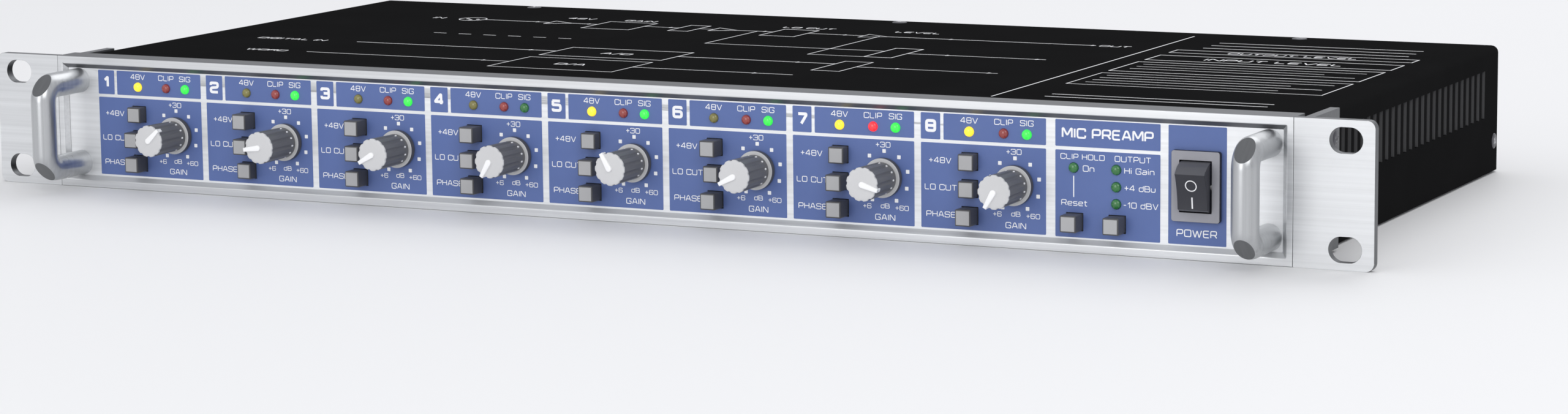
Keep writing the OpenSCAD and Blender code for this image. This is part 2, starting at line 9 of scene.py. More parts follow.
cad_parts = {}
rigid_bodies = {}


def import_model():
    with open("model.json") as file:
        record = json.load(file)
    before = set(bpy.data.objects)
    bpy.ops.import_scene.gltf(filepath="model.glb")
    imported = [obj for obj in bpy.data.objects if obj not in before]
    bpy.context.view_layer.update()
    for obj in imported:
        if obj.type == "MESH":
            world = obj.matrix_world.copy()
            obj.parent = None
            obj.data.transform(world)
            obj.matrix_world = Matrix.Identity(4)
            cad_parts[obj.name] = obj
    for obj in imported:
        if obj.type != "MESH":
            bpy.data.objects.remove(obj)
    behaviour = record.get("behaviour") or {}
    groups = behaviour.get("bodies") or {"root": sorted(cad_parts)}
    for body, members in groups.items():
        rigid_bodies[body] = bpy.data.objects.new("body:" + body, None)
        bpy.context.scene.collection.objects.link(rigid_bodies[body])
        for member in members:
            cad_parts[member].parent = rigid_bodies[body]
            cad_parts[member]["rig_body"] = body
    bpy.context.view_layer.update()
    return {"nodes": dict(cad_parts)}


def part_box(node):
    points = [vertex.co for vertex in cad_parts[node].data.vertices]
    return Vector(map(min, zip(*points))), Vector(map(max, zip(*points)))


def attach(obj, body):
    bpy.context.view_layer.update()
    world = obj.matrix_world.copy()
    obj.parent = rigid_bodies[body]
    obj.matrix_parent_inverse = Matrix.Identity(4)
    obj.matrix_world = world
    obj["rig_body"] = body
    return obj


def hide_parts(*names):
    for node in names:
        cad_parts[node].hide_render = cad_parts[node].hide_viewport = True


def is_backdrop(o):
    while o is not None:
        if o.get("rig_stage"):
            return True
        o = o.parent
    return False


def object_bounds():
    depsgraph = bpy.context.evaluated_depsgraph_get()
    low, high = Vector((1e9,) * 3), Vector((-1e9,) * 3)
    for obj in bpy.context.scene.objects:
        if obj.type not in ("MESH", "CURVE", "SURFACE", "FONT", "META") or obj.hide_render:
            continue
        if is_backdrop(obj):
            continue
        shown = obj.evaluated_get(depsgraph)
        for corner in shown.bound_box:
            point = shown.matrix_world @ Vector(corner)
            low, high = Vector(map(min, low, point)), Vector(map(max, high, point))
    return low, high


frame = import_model()
MM = 0.001

# ---- driving sizes, in millimetres ----
SHEET = 1.2                      # thickness of the case's sheet
PLATE_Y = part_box("front_plate")[0].y / MM
COVER_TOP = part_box("top_cover")[1].z / MM
REAR_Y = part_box("top_cover")[1].y / MM - SHEET
SIDE_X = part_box("top_cover")[1].x / MM
CASE_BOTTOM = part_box("top_cover")[0].z / MM
CHANNELS = range(8)
FIELD = 0.04                     # thickness of the blue print
INK = 0.03                       # least thickness of the ink
INK_RISE = 0.0015                # each point of a stroke lies this much higher, so that it can cross itself
INK_LIFT = 0.006                 # each stroke lies this much higher than the last, in rounds of INK_ROUND
INK_ROUND = 6
SCALE_R = 8.04                   # radius of the dots round a gain knob
VENTS = 26                       # cooling slots in each side
VENT_FIRST = 39.2                # middle of the first slot, in Y
VENT_PITCH = 6.086
VENT_W = 3.2
VENT_Z0, VENT_Z1 = -2.2, 13.6    # foot and top of the slots
HANDLE_X = 209.0
LIT_SUPPLY = (1, 5, 7, 8)        # channels with this lamp lit
LIT_CLIP = (7,)
DARK_SIGNAL = (4,)
POINTER = (47, -98, -120, -150, -30, -117, 107, -150)    # knob settings, clockwise from the top
MODE_X = -138.9                  # middle of the mode switch, as read from behind
LEVER_PITCH = 2.54
LEVERS_DOWN = (2, 3)
DATA_X, DATA_OUT = -72.5, 6.2    # middle and face of the 25-way connector
WORD_X, WORD_Z = -30.3, 9.5      # middle of the word clock socket
MAINS_X = -199.0


def centre(node):
    """Middle of a CAD node's box, in millimetres."""
    low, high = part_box(node)
    return (low + high) / 2 / MM


KNOBS = [centre(f"gain_knob_{k + 1}") for k in CHANNELS]
BUTTONS = {row: [centre(f"button_{row}_{k + 1}") for k in CHANNELS] for row in ("48v", "locut", "phase")}
LAMP_Z = 12.45
LAMP_X = (-0.17, 11.03, 18.5)    # supply, clip and signal lamps, from the button column
MASTER_LAMPS = ((148.17, 3.38), (161.67, 3.38), (161.67, -1.75), (161.67, -6.83))


# ---- materials ----
def node_material(name):
    mat = bpy.data.materials.new(name)
    mat.use_nodes = True
    tree = mat.node_tree
    return mat, tree, tree.nodes["Principled BSDF"]


def object_coords(tree, scale):
    """Object coordinates stretched by scale, in units of one over metres."""
    coords = tree.nodes.new("ShaderNodeTexCoord")
    mapping = tree.nodes.new("ShaderNodeMapping")
    mapping.inputs["Scale"].default_value = scale
    tree.links.new(coords.outputs["Object"], mapping.inputs["Vector"])
    return mapping.outputs["Vector"]


def noise(tree, vector, detail=3.0, rough=0.55):
    tex = tree.nodes.new("ShaderNodeTexNoise")
    tex.inputs["Scale"].default_value = 1.0
    tex.inputs["Detail"].default_value = detail
    tex.inputs["Roughness"].default_value = rough
    tree.links.new(vector, tex.inputs["Vector"])
    return tex.outputs["Fac"]


NOISE_LOW, NOISE_HIGH = 0.3, 0.7    # the part of a noise's range that is used


def remap(tree, value, low, high):
    node = tree.nodes.new("ShaderNodeMapRange")
    node.inputs["From Min"].default_value = NOISE_LOW
    node.inputs["From Max"].default_value = NOISE_HIGH
    node.inputs["To Min"].default_value = low
    node.inputs["To Max"].default_value = high
    tree.links.new(value, node.inputs["Value"])
    return node.outputs["Result"]


def two_tone(tree, value, dark, light):
    ramp = tree.nodes.new("ShaderNodeValToRGB")
    ramp.color_ramp.elements[0].position = NOISE_LOW
    ramp.color_ramp.elements[0].color = (*dark, 1)
    ramp.color_ramp.elements[1].position = NOISE_HIGH
    ramp.color_ramp.elements[1].color = (*light, 1)
    tree.links.new(value, ramp.inputs["Fac"])
    return ramp.outputs["Color"]


def bump(tree, value, depth):
    node = tree.nodes.new("ShaderNodeBump")
    node.inputs["Distance"].default_value = depth
    node.inputs["Strength"].default_value = 1.0
    tree.links.new(value, node.inputs["Height"])
    return node.outputs["Normal"]


def brushed(name, base, rough, along=(6, 900, 900), depth=0.000012):
    """Metal with fine lines along one axis, and broad cloudy changes of gloss."""
    mat, tree, bsdf = node_material(name)
    lines = noise(tree, object_coords(tree, along), 4.0, 0.6)
    cloud = noise(tree, object_coords(tree, (14, 40, 40)))
    tone = two_tone(tree, lines, [c * 0.90 for c in base], [min(1, c * 1.06) for c in base])
    tree.links.new(tone, bsdf.inputs["Base Color"])
    mix = tree.nodes.new("ShaderNodeMath")
    mix.operation = "ADD"
    tree.links.new(remap(tree, lines, rough - 0.05, rough + 0.07), mix.inputs[0])
    tree.links.new(remap(tree, cloud, -0.03, 0.04), mix.inputs[1])
    tree.links.new(mix.outputs[0], bsdf.inputs["Roughness"])
    tree.links.new(bump(tree, lines, depth), bsdf.inputs["Normal"])
    bsdf.inputs["Metallic"].default_value = 1.0
    return mat


def grained(name, base, rough, grain, depth, spread=0.12, coat=0.0, cloud_amount=0.06, gloss=0.5):
    """Painted or moulded surface: fine grain in the relief, faint changes of colour and gloss."""
    mat, tree, bsdf = node_material(name)
    fine = noise(tree, object_coords(tree, (grain, grain, grain)), 2.0)
    cloud = noise(tree, object_coords(tree, (35, 35, 35)), 4.0)
    dark, light = ([c * (1 + shift) for c in base] for shift in (-cloud_amount, cloud_amount))
    tone = two_tone(tree, cloud, dark, light)
    tree.links.new(tone, bsdf.inputs["Base Color"])
    tree.links.new(remap(tree, fine, rough - spread / 2, rough + spread / 2), bsdf.inputs["Roughness"])
    tree.links.new(bump(tree, fine, depth), bsdf.inputs["Normal"])
    bsdf.inputs["Coat Weight"].default_value = coat
    bsdf.inputs["Specular IOR Level"].default_value = gloss
    return mat


def lamp(name, colour, glow=0.0):
    """Tinted lamp lens, which glows when lit."""
    mat, tree, bsdf = node_material(name)
    cloud = noise(tree, object_coords(tree, (500, 500, 500)), 2.0)
    tone = two_tone(tree, cloud, [c * 0.85 for c in colour], colour)
    tree.links.new(tone, bsdf.inputs["Base Color"])
    tree.links.new(remap(tree, cloud, 0.18, 0.30), bsdf.inputs["Roughness"])
    bsdf.inputs["Coat Weight"].default_value = 0.6
    if glow:
        bsdf.inputs["Emission Color"].default_value = (*colour, 1)
        bsdf.inputs["Emission Strength"].default_value = glow
    return mat


SILVER = brushed("frame_silver", (0.70, 0.71, 0.72), 0.36)
PLATE = brushed("plate_silver", (0.86, 0.87, 0.88), 0.55)
SOFT = brushed("lower_bevel_aluminium", (0.72, 0.73, 0.74), 0.70)
EAR = brushed("ear_silver", (0.71, 0.72, 0.73), 0.42)
# painted shade: a dark copy of the frame aluminium for the bevel above the plate, which faces down
UNDER_SHADE = brushed("under_bevel_painted_shade", (0.24, 0.245, 0.255), 0.42)
# painted shade: a darker copy of the aluminium for frame and ear faces that do not face the front
SHADED = brushed("aluminium_painted_shade", (0.16, 0.165, 0.172), 0.45)
HANDLE = brushed("handle_silver", (0.52, 0.53, 0.54), 0.31, along=(700, 700, 9))
# painted reflection: a dark copy of the handle metal on the flat cuts stands for the dark reflection in the
# polished facet
HANDLE_CUT_REFLECTION = brushed("handle_cut_painted_reflection", (0.20, 0.205, 0.21), 0.32, along=(700, 60, 60))
NICKEL = brushed("nickel", (0.78, 0.77, 0.74), 0.22, along=(220, 220, 220), depth=0.000006)
CHROME = brushed("chrome_ring", (0.90, 0.90, 0.90), 0.10, along=(160, 160, 160), depth=0.000002)
STEEL = brushed("plated_steel", (0.66, 0.66, 0.64), 0.30, along=(260, 260, 260), depth=0.000006)
GOLD = brushed("gold_contact", (0.83, 0.61, 0.24), 0.25, along=(300, 300, 300), depth=0.000004)
COVER = grained("cover_powder_coat", (0.0115, 0.0115, 0.0118), 0.70, grain=1500, depth=0.00003, gloss=0.0)
# painted light: the slot walls, which face the front lamp, are coloured lighter than the black coat
SLOT_WALL_LIGHT = grained("slot_wall_painted_light", (0.085, 0.085, 0.088), 0.55, grain=1500, depth=0.00002)
REAR = grained("rear_powder_coat", (0.034, 0.034, 0.036), 0.60, grain=1500, depth=0.00003, gloss=0.15)
BLUE = grained("blue_print", (0.095, 0.150, 0.37), 0.50, grain=900, depth=0.000008, cloud_amount=0.04)
WHITE = grained("white_ink", (0.92, 0.92, 0.93), 0.50, grain=2500, depth=0.000006, cloud_amount=0.03)
GREY_INK = grained("grey_ink", (0.55, 0.55, 0.56), 0.55, grain=2500, depth=0.000006, cloud_amount=0.05)
KNOB_BODY = grained("knob_grey_plastic", (0.125, 0.125, 0.128), 0.40, grain=3000, depth=0.00001)
KNOB_SKIRT = grained("knob_skirt_plastic", (0.085, 0.082, 0.080), 0.40, grain=3000, depth=0.00001)
KNOB_RING = grained("knob_ring_silver", (0.56, 0.56, 0.56), 0.35,
                    grain=3000, depth=0.000005, cloud_amount=0.03)
KNOB_CAP = grained("knob_cap_plastic", (0.60, 0.60, 0.605), 0.50,
                   grain=2500, depth=0.00002, cloud_amount=0.03)
# white of the pointer, also used for painted highlights at the feet of the flutes
KNOB_MARK_AND_GLINT = grained("knob_pointer_and_glint_white", (0.92, 0.92, 0.92), 0.40,
                    grain=2500, depth=0.00001, cloud_amount=0.02)
# one grey plastic, coloured darker on the sides as painted shade and lighter on the face as painted light
BUTTON_SHADED_SIDES = grained("button_plastic_painted_shade", (0.075, 0.075, 0.080), 0.40, grain=2600, depth=0.00003)
BUTTON_LIT_FACE = grained("button_face_painted_light", (0.40, 0.40, 0.405), 0.42, grain=2600, depth=0.00003)
BEZEL = grained("switch_bezel_plastic", (0.31, 0.31, 0.34), 0.45, grain=1600, depth=0.00002)
# painted shade: a near-black copy of the bezel plastic for its sides and the walls of its opening
BEZEL_SHADE = grained("switch_bezel_painted_shade", (0.020, 0.020, 0.024), 0.45, grain=1600, depth=0.00002)
ROCKER = grained("rocker_plastic", (0.020, 0.021, 0.030), 0.30,
                 grain=2600, depth=0.000002, spread=0.05, coat=0.2)
# painted light: a lighter copy of the rocker plastic for its faces that point up or down
ROCKER_LIT_ARCS = grained("rocker_arcs_painted_light", (0.085, 0.087, 0.100), 0.35,
                     grain=2600, depth=0.000002, spread=0.05)
BLACK = grained("black_plastic", (0.016, 0.016, 0.017), 0.38, grain=2000, depth=0.00003)
BLACK_GLOSS = grained("black_gloss_plastic", (0.010, 0.010, 0.011), 0.20, grain=2600, depth=0.00001, coat=0.3)
RED = grained("red_plastic", (0.62, 0.035, 0.10), 0.32, grain=2600, depth=0.00001)
LEVER = grained("white_plastic", (0.75, 0.75, 0.74), 0.40, grain=2600, depth=0.00001, cloud_amount=0.02)
SCREW = brushed("blackened_screw", (0.10, 0.10, 0.11), 0.34, along=(300, 300, 300), depth=0.000006)
RECESS = brushed("screw_recess", (0.85, 0.85, 0.86), 0.30, along=(300, 300, 300), depth=0.000006)
BOARD = grained("solder_mask", (0.012, 0.075, 0.030), 0.35, grain=900, depth=0.00002, cloud_amount=0.2)
LAMPS = {
    "supply_lit": lamp("lamp_supply_lit", (0.92, 0.66, 0.03), 0.9),
    "supply_dark": lamp("lamp_supply_dark", (0.22, 0.20, 0.05)),
    "clip_lit": lamp("lamp_clip_lit", (0.95, 0.02, 0.03), 0.9),
    "clip_dark": lamp("lamp_clip_dark", (0.33, 0.045, 0.04)),
    "signal_lit": lamp("lamp_signal_lit", (0.03, 0.80, 0.06), 0.8),
    "signal_dark": lamp("lamp_signal_dark", (0.03, 0.19, 0.045)),
}


# ---- mesh helpers ----
class Build:
    """Gathers the solids of one piece, in millimetres; each solid keeps its own material."""

    def __init__(self):
        self.mesh = bmesh.new()
        self.mats = []

    def add(self, part, mat, place=Matrix.Identity(4)):
        if mat not in self.mats:
            self.mats.append(mat)
        index = self.mats.index(mat)
        bmesh.ops.recalc_face_normals(part, faces=part.faces)
        for face in part.faces:
            face.material_index = index
        bmesh.ops.transform(part, matrix=place, verts=part.verts)
        scratch = bpy.data.meshes.new("scratch")
        part.to_mesh(scratch)
        part.free()
        self.mesh.from_mesh(scratch)
        bpy.data.meshes.remove(scratch)

    def box(self, low, high, mat, round_off=0.0, steps=2, place=Matrix.Identity(4)):
        part = bmesh.new()
        low, high = Vector(low), Vector(high)
        size = Matrix.Diagonal((*(high - low), 1))
        bmesh.ops.create_cube(part, size=1, matrix=Matrix.Translation((low + high) / 2) @ size)
        if round_off:
            bmesh.ops.bevel(part, geom=part.edges[:], offset=round_off, segments=steps, profile=0.5,
                            affect="EDGES")
        self.add(part, mat, place)

    def turned(self, profile, mat, place=Matrix.Identity(4), steps=48, radius_of=None):
        """Turns (radius, height) points about Z. radius_of(radius, height, angle) may shape it further."""
        part = bmesh.new()
        rings = []
        for radius, height in profile:
            ring = []
            if radius > 0:
                for i in range(steps):
                    angle = 2 * math.pi * i / steps
                    r = radius_of(radius, height, angle) if radius_of else radius
                    ring.append(part.verts.new((r * math.cos(angle), r * math.sin(angle), height)))
            else:
                ring.append(part.verts.new((0, 0, height)))
            rings.append(ring)
        for a, b in zip(rings, rings[1:]):
            for i in range(steps):
                j = (i + 1) % steps
                if len(a) == 1 and len(b) > 1:
                    part.faces.new((a[0], b[i], b[j]))
                elif len(b) == 1 and len(a) > 1:
                    part.faces.new((a[i], b[0], a[j]))
                elif len(a) > 1:
                    part.faces.new((a[i], b[i], b[j], a[j]))
        for ring in (rings[0], rings[-1]):
            if len(ring) > 1 and profile[0] != profile[-1]:
                part.faces.new(ring)
        if profile[0] == profile[-1]:
            bmesh.ops.remove_doubles(part, verts=part.verts, dist=1e-5)
        self.add(part, mat, place)

    def prism(self, outline, depth, mat, place=Matrix.Identity(4), round_off=0.0, steps=2):
        """An outline in X and Y raised along Z."""
        part = bmesh.new()
        base = [part.verts.new((x, y, 0)) for x, y in outline]
        face = part.faces.new(base)
        top = bmesh.ops.extrude_face_region(part, geom=[face])["geom"]
        verts = [g for g in top if isinstance(g, bmesh.types.BMVert)]
        bmesh.ops.translate(part, verts=verts, vec=(0, 0, depth))
        if round_off:
            rim = [e for e in part.edges if all(abs(v.co.z - depth) < 1e-6 for v in e.verts)]
            bmesh.ops.bevel(part, geom=rim, offset=round_off, segments=steps, profile=0.5, affect="EDGES")
        self.add(part, mat, place)

    def done(self, name, body, slot, replaces=(), smooth=35):
        """Makes the piece and ties it to its body; smooth is the least angle of a sharp edge."""
        mesh = bpy.data.meshes.new(name)
        bmesh.ops.transform(self.mesh, matrix=Matrix.Scale(MM, 4), verts=self.mesh.verts)
        self.mesh.to_mesh(mesh)
        self.mesh.free()
        for mat in self.mats:
            mesh.materials.append(mat)
        mesh.shade_smooth()
        mesh.set_sharp_from_angle(angle=math.radians(smooth))
        obj = bpy.data.objects.new(name, mesh)
        bpy.context.scene.collection.objects.link(obj)
        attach(obj, body)
        if replaces:
            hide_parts(*replaces)


def facing_front(x, y, z):
    """Places a shape drawn in X and Y so that it faces the front: its X stays, its Y goes up."""
    return Matrix.Translation((x, y, z)) @ Matrix.Rotation(math.pi / 2, 4, "X")


def facing_back(x, y, z):
    """The same for the rear: read from behind, its X runs to the reader's right."""
    return spun(Matrix.Translation((x, y, z)), 180) @ Matrix.Rotation(math.pi / 2, 4, "X")


def spun(matrix, degrees):
    return matrix @ Matrix.Rotation(math.radians(degrees), 4, "Z")


def rounded(w, h, r, steps=4):
    """Corner points of a rectangle with round corners, about its middle."""
    points = []
    for cx, cy, start in ((1, 1, 0), (-1, 1, 90), (-1, -1, 180), (1, -1, 270)):
        for i in range(steps + 1):
            angle = math.radians(start + 90 * i / steps)
            points.append((cx * (w / 2 - r) + r * math.cos(angle), cy * (h / 2 - r) + r * math.sin(angle)))
    return points


def ring_points(x, y, r, steps=32):
    return [(x + r * math.cos(2 * math.pi * i / steps), y + r * math.sin(2 * math.pi * i / steps))
            for i in range(steps)]


def loop_points(x, y, r, steps=32):
    """A ring of points whose last is its first, for a closed stroke."""
    points = ring_points(x, y, r, steps)
    return points + points[:1]


def moved(points, x, y):
    return [(px + x, py + y) for px, py in points]


# ---- lettering: wide, square-shouldered strokes on a grid ten units high ----
O_SHAPE = [(0, 0), (0, 10), (10, 10), (10, 0), (0, 0)]
GLYPHS = {
    "A": (10, [[(0, 0), (3.8, 10), (6.2, 10), (10, 0)], [(1.4, 3.2), (8.6, 3.2)]]),
    "B": (9.5, [[(0, -0.6), (0, 10.6)], [(0, 10), (8.8, 10), (8.8, 5.2)],
                [(0, 5.2), (9.5, 5.2), (9.5, 0), (0, 0)]]),
    "C": (9.5, [[(9.5, 2.8), (9.5, 0), (0, 0), (0, 10), (9.5, 10), (9.5, 7.2)]]),
    "D": (9.8, [[(0, -0.6), (0, 10.6)], [(0, 10), (9.8, 10), (9.8, 0), (0, 0)]]),
    "E": (8.6, [[(8.6, 10), (0, 10), (0, 0), (8.6, 0)], [(0, 5.1), (7.8, 5.1)]]),
    "G": (9.8, [[(9.8, 7.4), (9.8, 10), (0, 10), (0, 0), (9.8, 0), (9.8, 4.8), (5.6, 4.8)]]),
    "H": (9.6, [[(0, 0), (0, 10)], [(9.6, 0), (9.6, 10)], [(0, 5.1), (9.6, 5.1)]]),
    "I": (0.8, [[(0.4, 0), (0.4, 10)]]),
    "L": (8.2, [[(0, 10), (0, 0), (8.2, 0)]]),
    "M": (11.4, [[(0, 0), (0, 10), (1.2, 10), (5.7, 2), (10.2, 10), (11.4, 10), (11.4, 0)]]),
    "N": (10, [[(0, 0), (0, 10), (1, 10), (9, 0), (10, 0), (10, 10)]]),
    "O": (10, [O_SHAPE]),
    "P": (9.2, [[(0, 0), (0, 10), (9.2, 10), (9.2, 4), (0, 4)]]),
    "R": (9.4, [[(0, 0), (0, 10), (9.2, 10), (9.2, 4.2), (0, 4.2)], [(6, 4.2), (9.4, 0)]]),
    "S": (9.4, [[(9.4, 7.6), (9.4, 10), (0, 10), (0, 5.1), (9.4, 5.1), (9.4, 0), (0, 0), (0, 2.4)]]),
    "T": (9.4, [[(0, 10), (9.4, 10)], [(4.7, 10), (4.7, 0)]]),
    "U": (9.8, [[(0, 10), (0, 0), (9.8, 0), (9.8, 10)]]),
    "V": (10, [[(0, 10), (4.6, 0), (5.4, 0), (10, 10)]]),
    "W": (14, [[(0, 10), (3.4, 0), (4, 0), (7, 10), (10, 0), (10.6, 0), (14, 10)]]),
    "X": (9.6, [[(0, 0), (9.6, 10)], [(0, 10), (9.6, 0)]]),
    "0": (9.4, [[(0, 0), (0, 10), (9.4, 10), (9.4, 0), (0, 0)]]),
    "1": (4.4, [[(0, 7), (3.2, 10), (3.8, 10), (3.8, 0)]]),
    "2": (9, [[(0, 7.6), (0, 10), (9, 10), (9, 5.4), (0, 4.6), (0, 0), (9, 0)]]),
    "3": (9, [[(0, 7.8), (0, 10), (9, 10), (9, 0), (0, 0), (0, 2.2)], [(2.6, 5.1), (9, 5.1)]]),
    "4": (9.4, [[(7, 0), (7, 10), (6, 10), (0, 3.2), (0, 2.6), (9.4, 2.6)]]),
    "5": (9, [[(8.6, 10), (-0.6, 10)], [(0, 10), (0, 5.2)], [(-0.6, 5.8), (9, 5.8), (9, 0), (0, 0), (0, 2)]]),
    "6": (9, [[(8.8, 8), (8.8, 10), (0, 10), (0, 0), (9, 0), (9, 5.6), (0, 5.6)]]),
    "7": (8.8, [[(0, 10), (8.8, 10), (8.8, 8.6), (3.4, 0)]]),
    "8": (9, [[(0, 0), (0, 10), (9, 10), (9, 0), (0, 0)], [(0, 5.1), (9, 5.1)]]),
    "9": (9, [[(0.2, 2), (0.2, 0), (9, 0), (9, 10), (0, 10), (0, 4.5), (9, 4.5)]]),
    "+": (7.4, [[(0, 4.6), (7.4, 4.6)], [(3.7, 0.9), (3.7, 8.3)]]),
    "-": (5.4, [[(0.4, 4.6), (5, 4.6)]]),
    "/": (5.6, [[(0, -1), (5.6, 11)]]),
    "a": (8, [[(0.8, 7), (8, 7), (8, 0), (0, 0), (0, 3.8), (8, 3.8)]]),
    "d": (8, [[(8, 10), (8, 0), (0, 0), (0, 7), (8, 7)]]),
    "e": (8, [[(8, 0), (0, 0), (0, 7), (8, 7), (8, 3.5), (0, 3.5)]]),
    "i": (0.8, [[(0.4, 0), (0.4, 7)], [(0.4, 8.8), (0.4, 10)]]),
    "n": (7.8, [[(0, 0), (0, 7), (7.8, 7), (7.8, 0)]]),
    "s": (7.6, [[(7.6, 7), (0, 7), (0, 3.5), (7.6, 3.5), (7.6, 0), (0, 0)]]),
    "t": (5.6, [[(2, 9.6), (2, 0), (5.6, 0)], [(0, 7), (5.6, 7)]]),
    "u": (7.8, [[(0, 7), (0, 0), (7.8, 0), (7.8, 7)]]),
}


def soft_corners(points, r, steps=3):
    """Rounds the corners of a stroke; a closed stroke starts and ends at the same point."""
    closed = points[0] == points[-1]
    pts = [Vector(p) for p in (points[:-1] if closed else points)]
    n = len(pts)
    out = []
    for i, p in enumerate(pts):
        if not closed and i in (0, n - 1):
            out.append(p)
            continue
        to_last, to_next = pts[i - 1] - p, pts[(i + 1) % n] - p
        reach = min(r, to_last.length / 2, to_next.length / 2)
        a = p + to_last.normalized() * reach
        b = p + to_next.normalized() * reach
        for s in range(steps + 1):
            t = s / steps
            out.append(a * (1 - t) ** 2 + p * 2 * t * (1 - t) + b * t ** 2)
    return out, closed


def stroke_sides(points, closed, width):
    """The two edges of a stroke of that width, mitred at each point."""
    n = len(points)
    left, right = [], []
    for i, p in enumerate(points):
        before = points[i - 1] if (i or closed) else None
        after = points[(i + 1) % n] if (i < n - 1 or closed) else None
        runs = [v.normalized() for v in (p - before if before is not None else None,
                                         after - p if after is not None else None) if v is not None]
        along = sum(runs, Vector((0, 0))).normalized()
        side = Vector((-along.y, along.x))
        stretch = 1 / max(0.5, side.dot(Vector((-runs[0].y, runs[0].x))))
        left.append(p + side * stretch * width / 2)
        right.append(p - side * stretch * width / 2)
    return left, right


class Print(Build):
    """Printing: thin raised ink, drawn in X and Y of the face that place puts it on."""

    def __init__(self, mat, place_at):
        super().__init__()
        self.mat = mat
        self.place_at = place_at
        self.strokes = 0

    def line(self, points, width, round_off=0.0):
        pts, closed = soft_corners(points, round_off) if round_off else soft_corners(points, 1e-6, 1)
        clean = [pts[0]]
        for p in pts[1:]:
            if (p - clean[-1]).length > 1e-4:
                clean.append(p)
        if closed and (clean[0] - clean[-1]).length < 1e-4:
            clean.pop()
        left, right = stroke_sides(clean, closed, width)
        part = bmesh.new()
        n = len(clean)
        self.strokes += 1
        top = INK + INK_LIFT * (self.strokes % INK_ROUND)
        levels = [[part.verts.new((*p, z + rise * i)) for i, p in enumerate(side)]
                  for z, rise in ((0, 0), (top, INK_RISE)) for side in (left, right)]
        low_l, low_r, top_l, top_r = levels
        for i in range(n if closed else n - 1):
            j = (i + 1) % n
            part.faces.new((top_l[i], top_r[i], top_r[j], top_l[j]))
            part.faces.new((low_l[i], low_l[j], low_r[j], low_r[i]))
            part.faces.new((low_l[i], top_l[i], top_l[j], low_l[j]))
            part.faces.new((low_r[i], low_r[j], top_r[j], top_r[i]))
        if not closed:
            part.faces.new((low_l[0], low_r[0], top_r[0], top_l[0]))
            part.faces.new((low_l[-1], top_l[-1], top_r[-1], low_r[-1]))
        self.add(part, self.mat, self.place_at)

    def area(self, outline):
        self.prism(outline, 2 * INK, self.mat, self.place_at)

    def text(self, words, x, y, cap, weight=1.35, align=0.5, gap=3.0, turn=0.0):
        """Writes words in capitals cap high, their middle at x (align 0.5) or their start (0), and at y."""
        unit = cap / 10
        run = 0.0
        strokes = []
        for letter in words:
            if letter == " ":
                run += 6
                continue
            wide, lines = GLYPHS[letter]
            strokes += [[(px + run, py) for px, py in line] for line in lines]
            run += wide + gap
        shift = -align * (run - gap)
        spin = Matrix.Rotation(math.radians(turn), 2)
        for line in strokes:
            pts = [spin @ Vector(((px + shift) * unit, (py - 5) * unit)) + Vector((x, y)) for px, py in line]
            self.line([tuple(p) for p in pts], weight * unit, round_off=2.2 * unit)


def blue_field(name, outlines):
    """Blue print on the front plate: the first outline is its edge, the others are holes in it."""
    curve = bpy.data.curves.new(name, "CURVE")
    curve.dimensions = "2D"
    curve.fill_mode = "BOTH"
    curve.extrude = FIELD / 2
    for outline in outlines:
        spline = curve.splines.new("POLY")
        spline.points.add(len(outline) - 1)
        for point, (x, y) in zip(spline.points, outline):
            point.co = (x, y, 0, 1)
        spline.use_cyclic_u = True
    made = bpy.data.objects.new(name, curve)
    bpy.context.scene.collection.objects.link(made)
    bpy.context.view_layer.update()
    mesh = bpy.data.meshes.new_from_object(made.evaluated_get(bpy.context.evaluated_depsgraph_get()))
    bpy.data.objects.remove(made)
    mesh.transform(Matrix.Scale(MM, 4) @ front(FIELD / 2))
    mesh.materials.clear()
    mesh.materials.append(BLUE)
    obj = bpy.data.objects.new(name, mesh)
    bpy.context.scene.collection.objects.link(obj)
    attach(obj, "case")


# ---- sheet metal, frame, ears, handles: CAD shapes with their edges broken ----
def softened(node, mats, width=0.3, segments=2, angle=32, pick=None, pierced=False, cuts=()):
    """A copy of a CAD node with small rounded edges, which stands for it.

    pick gives the number of a face's material from the way the face looks.
    A pierced sheet keeps its triangles and its sharp edges, because its faces have holes.
    cuts are the places in X where the faces round an opening are parted squarely."""
    body = frame["nodes"][node]["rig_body"]
    mesh = frame["nodes"][node].data.copy()
    part = bmesh.new()
    part.from_mesh(mesh)
    bmesh.ops.remove_doubles(part, verts=part.verts, dist=2e-6)
    for x in cuts:
        parted = bmesh.ops.bisect_plane(part, geom=[*part.verts, *part.edges, *part.faces], dist=1e-6,
                                        plane_co=(x * MM, 0, 0), plane_no=(1, 0, 0))
        for item in parted["geom_cut"]:
            if isinstance(item, bmesh.types.BMEdge):
                item.seam = True
    if not pierced:
        bmesh.ops.dissolve_limit(part, angle_limit=math.radians(0.5), verts=part.verts, edges=part.edges,
                                 delimit={"NORMAL", "SEAM"})
    part.to_mesh(mesh)
    part.free()
    mesh.materials.clear()
    for mat in mats:
        mesh.materials.append(mat)
    if pick:
        for face in mesh.polygons:
            face.material_index = pick(face.normal)
    mesh.shade_smooth()
    raw = bpy.data.objects.new(node + "_raw", mesh)
    bpy.context.scene.collection.objects.link(raw)
    if not pierced:
        bevel = raw.modifiers.new("edge", "BEVEL")
        bevel.width = width * MM
        bevel.segments = segments
        bevel.limit_method = "ANGLE"
        bevel.angle_limit = math.radians(angle)
        bevel.miter_outer = "MITER_ARC"
        raw.modifiers.new("flat faces", "WEIGHTED_NORMAL").weight = 100
    bpy.context.view_layer.update()
    made = bpy.data.meshes.new_from_object(raw.evaluated_get(bpy.context.evaluated_depsgraph_get()))
    bpy.data.objects.remove(raw)
    if pierced:
        made.set_sharp_from_angle(angle=math.radians(28))
    obj = bpy.data.objects.new(node + "_finish", made)
    bpy.context.scene.collection.objects.link(obj)
    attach(obj, body)
    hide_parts(node)


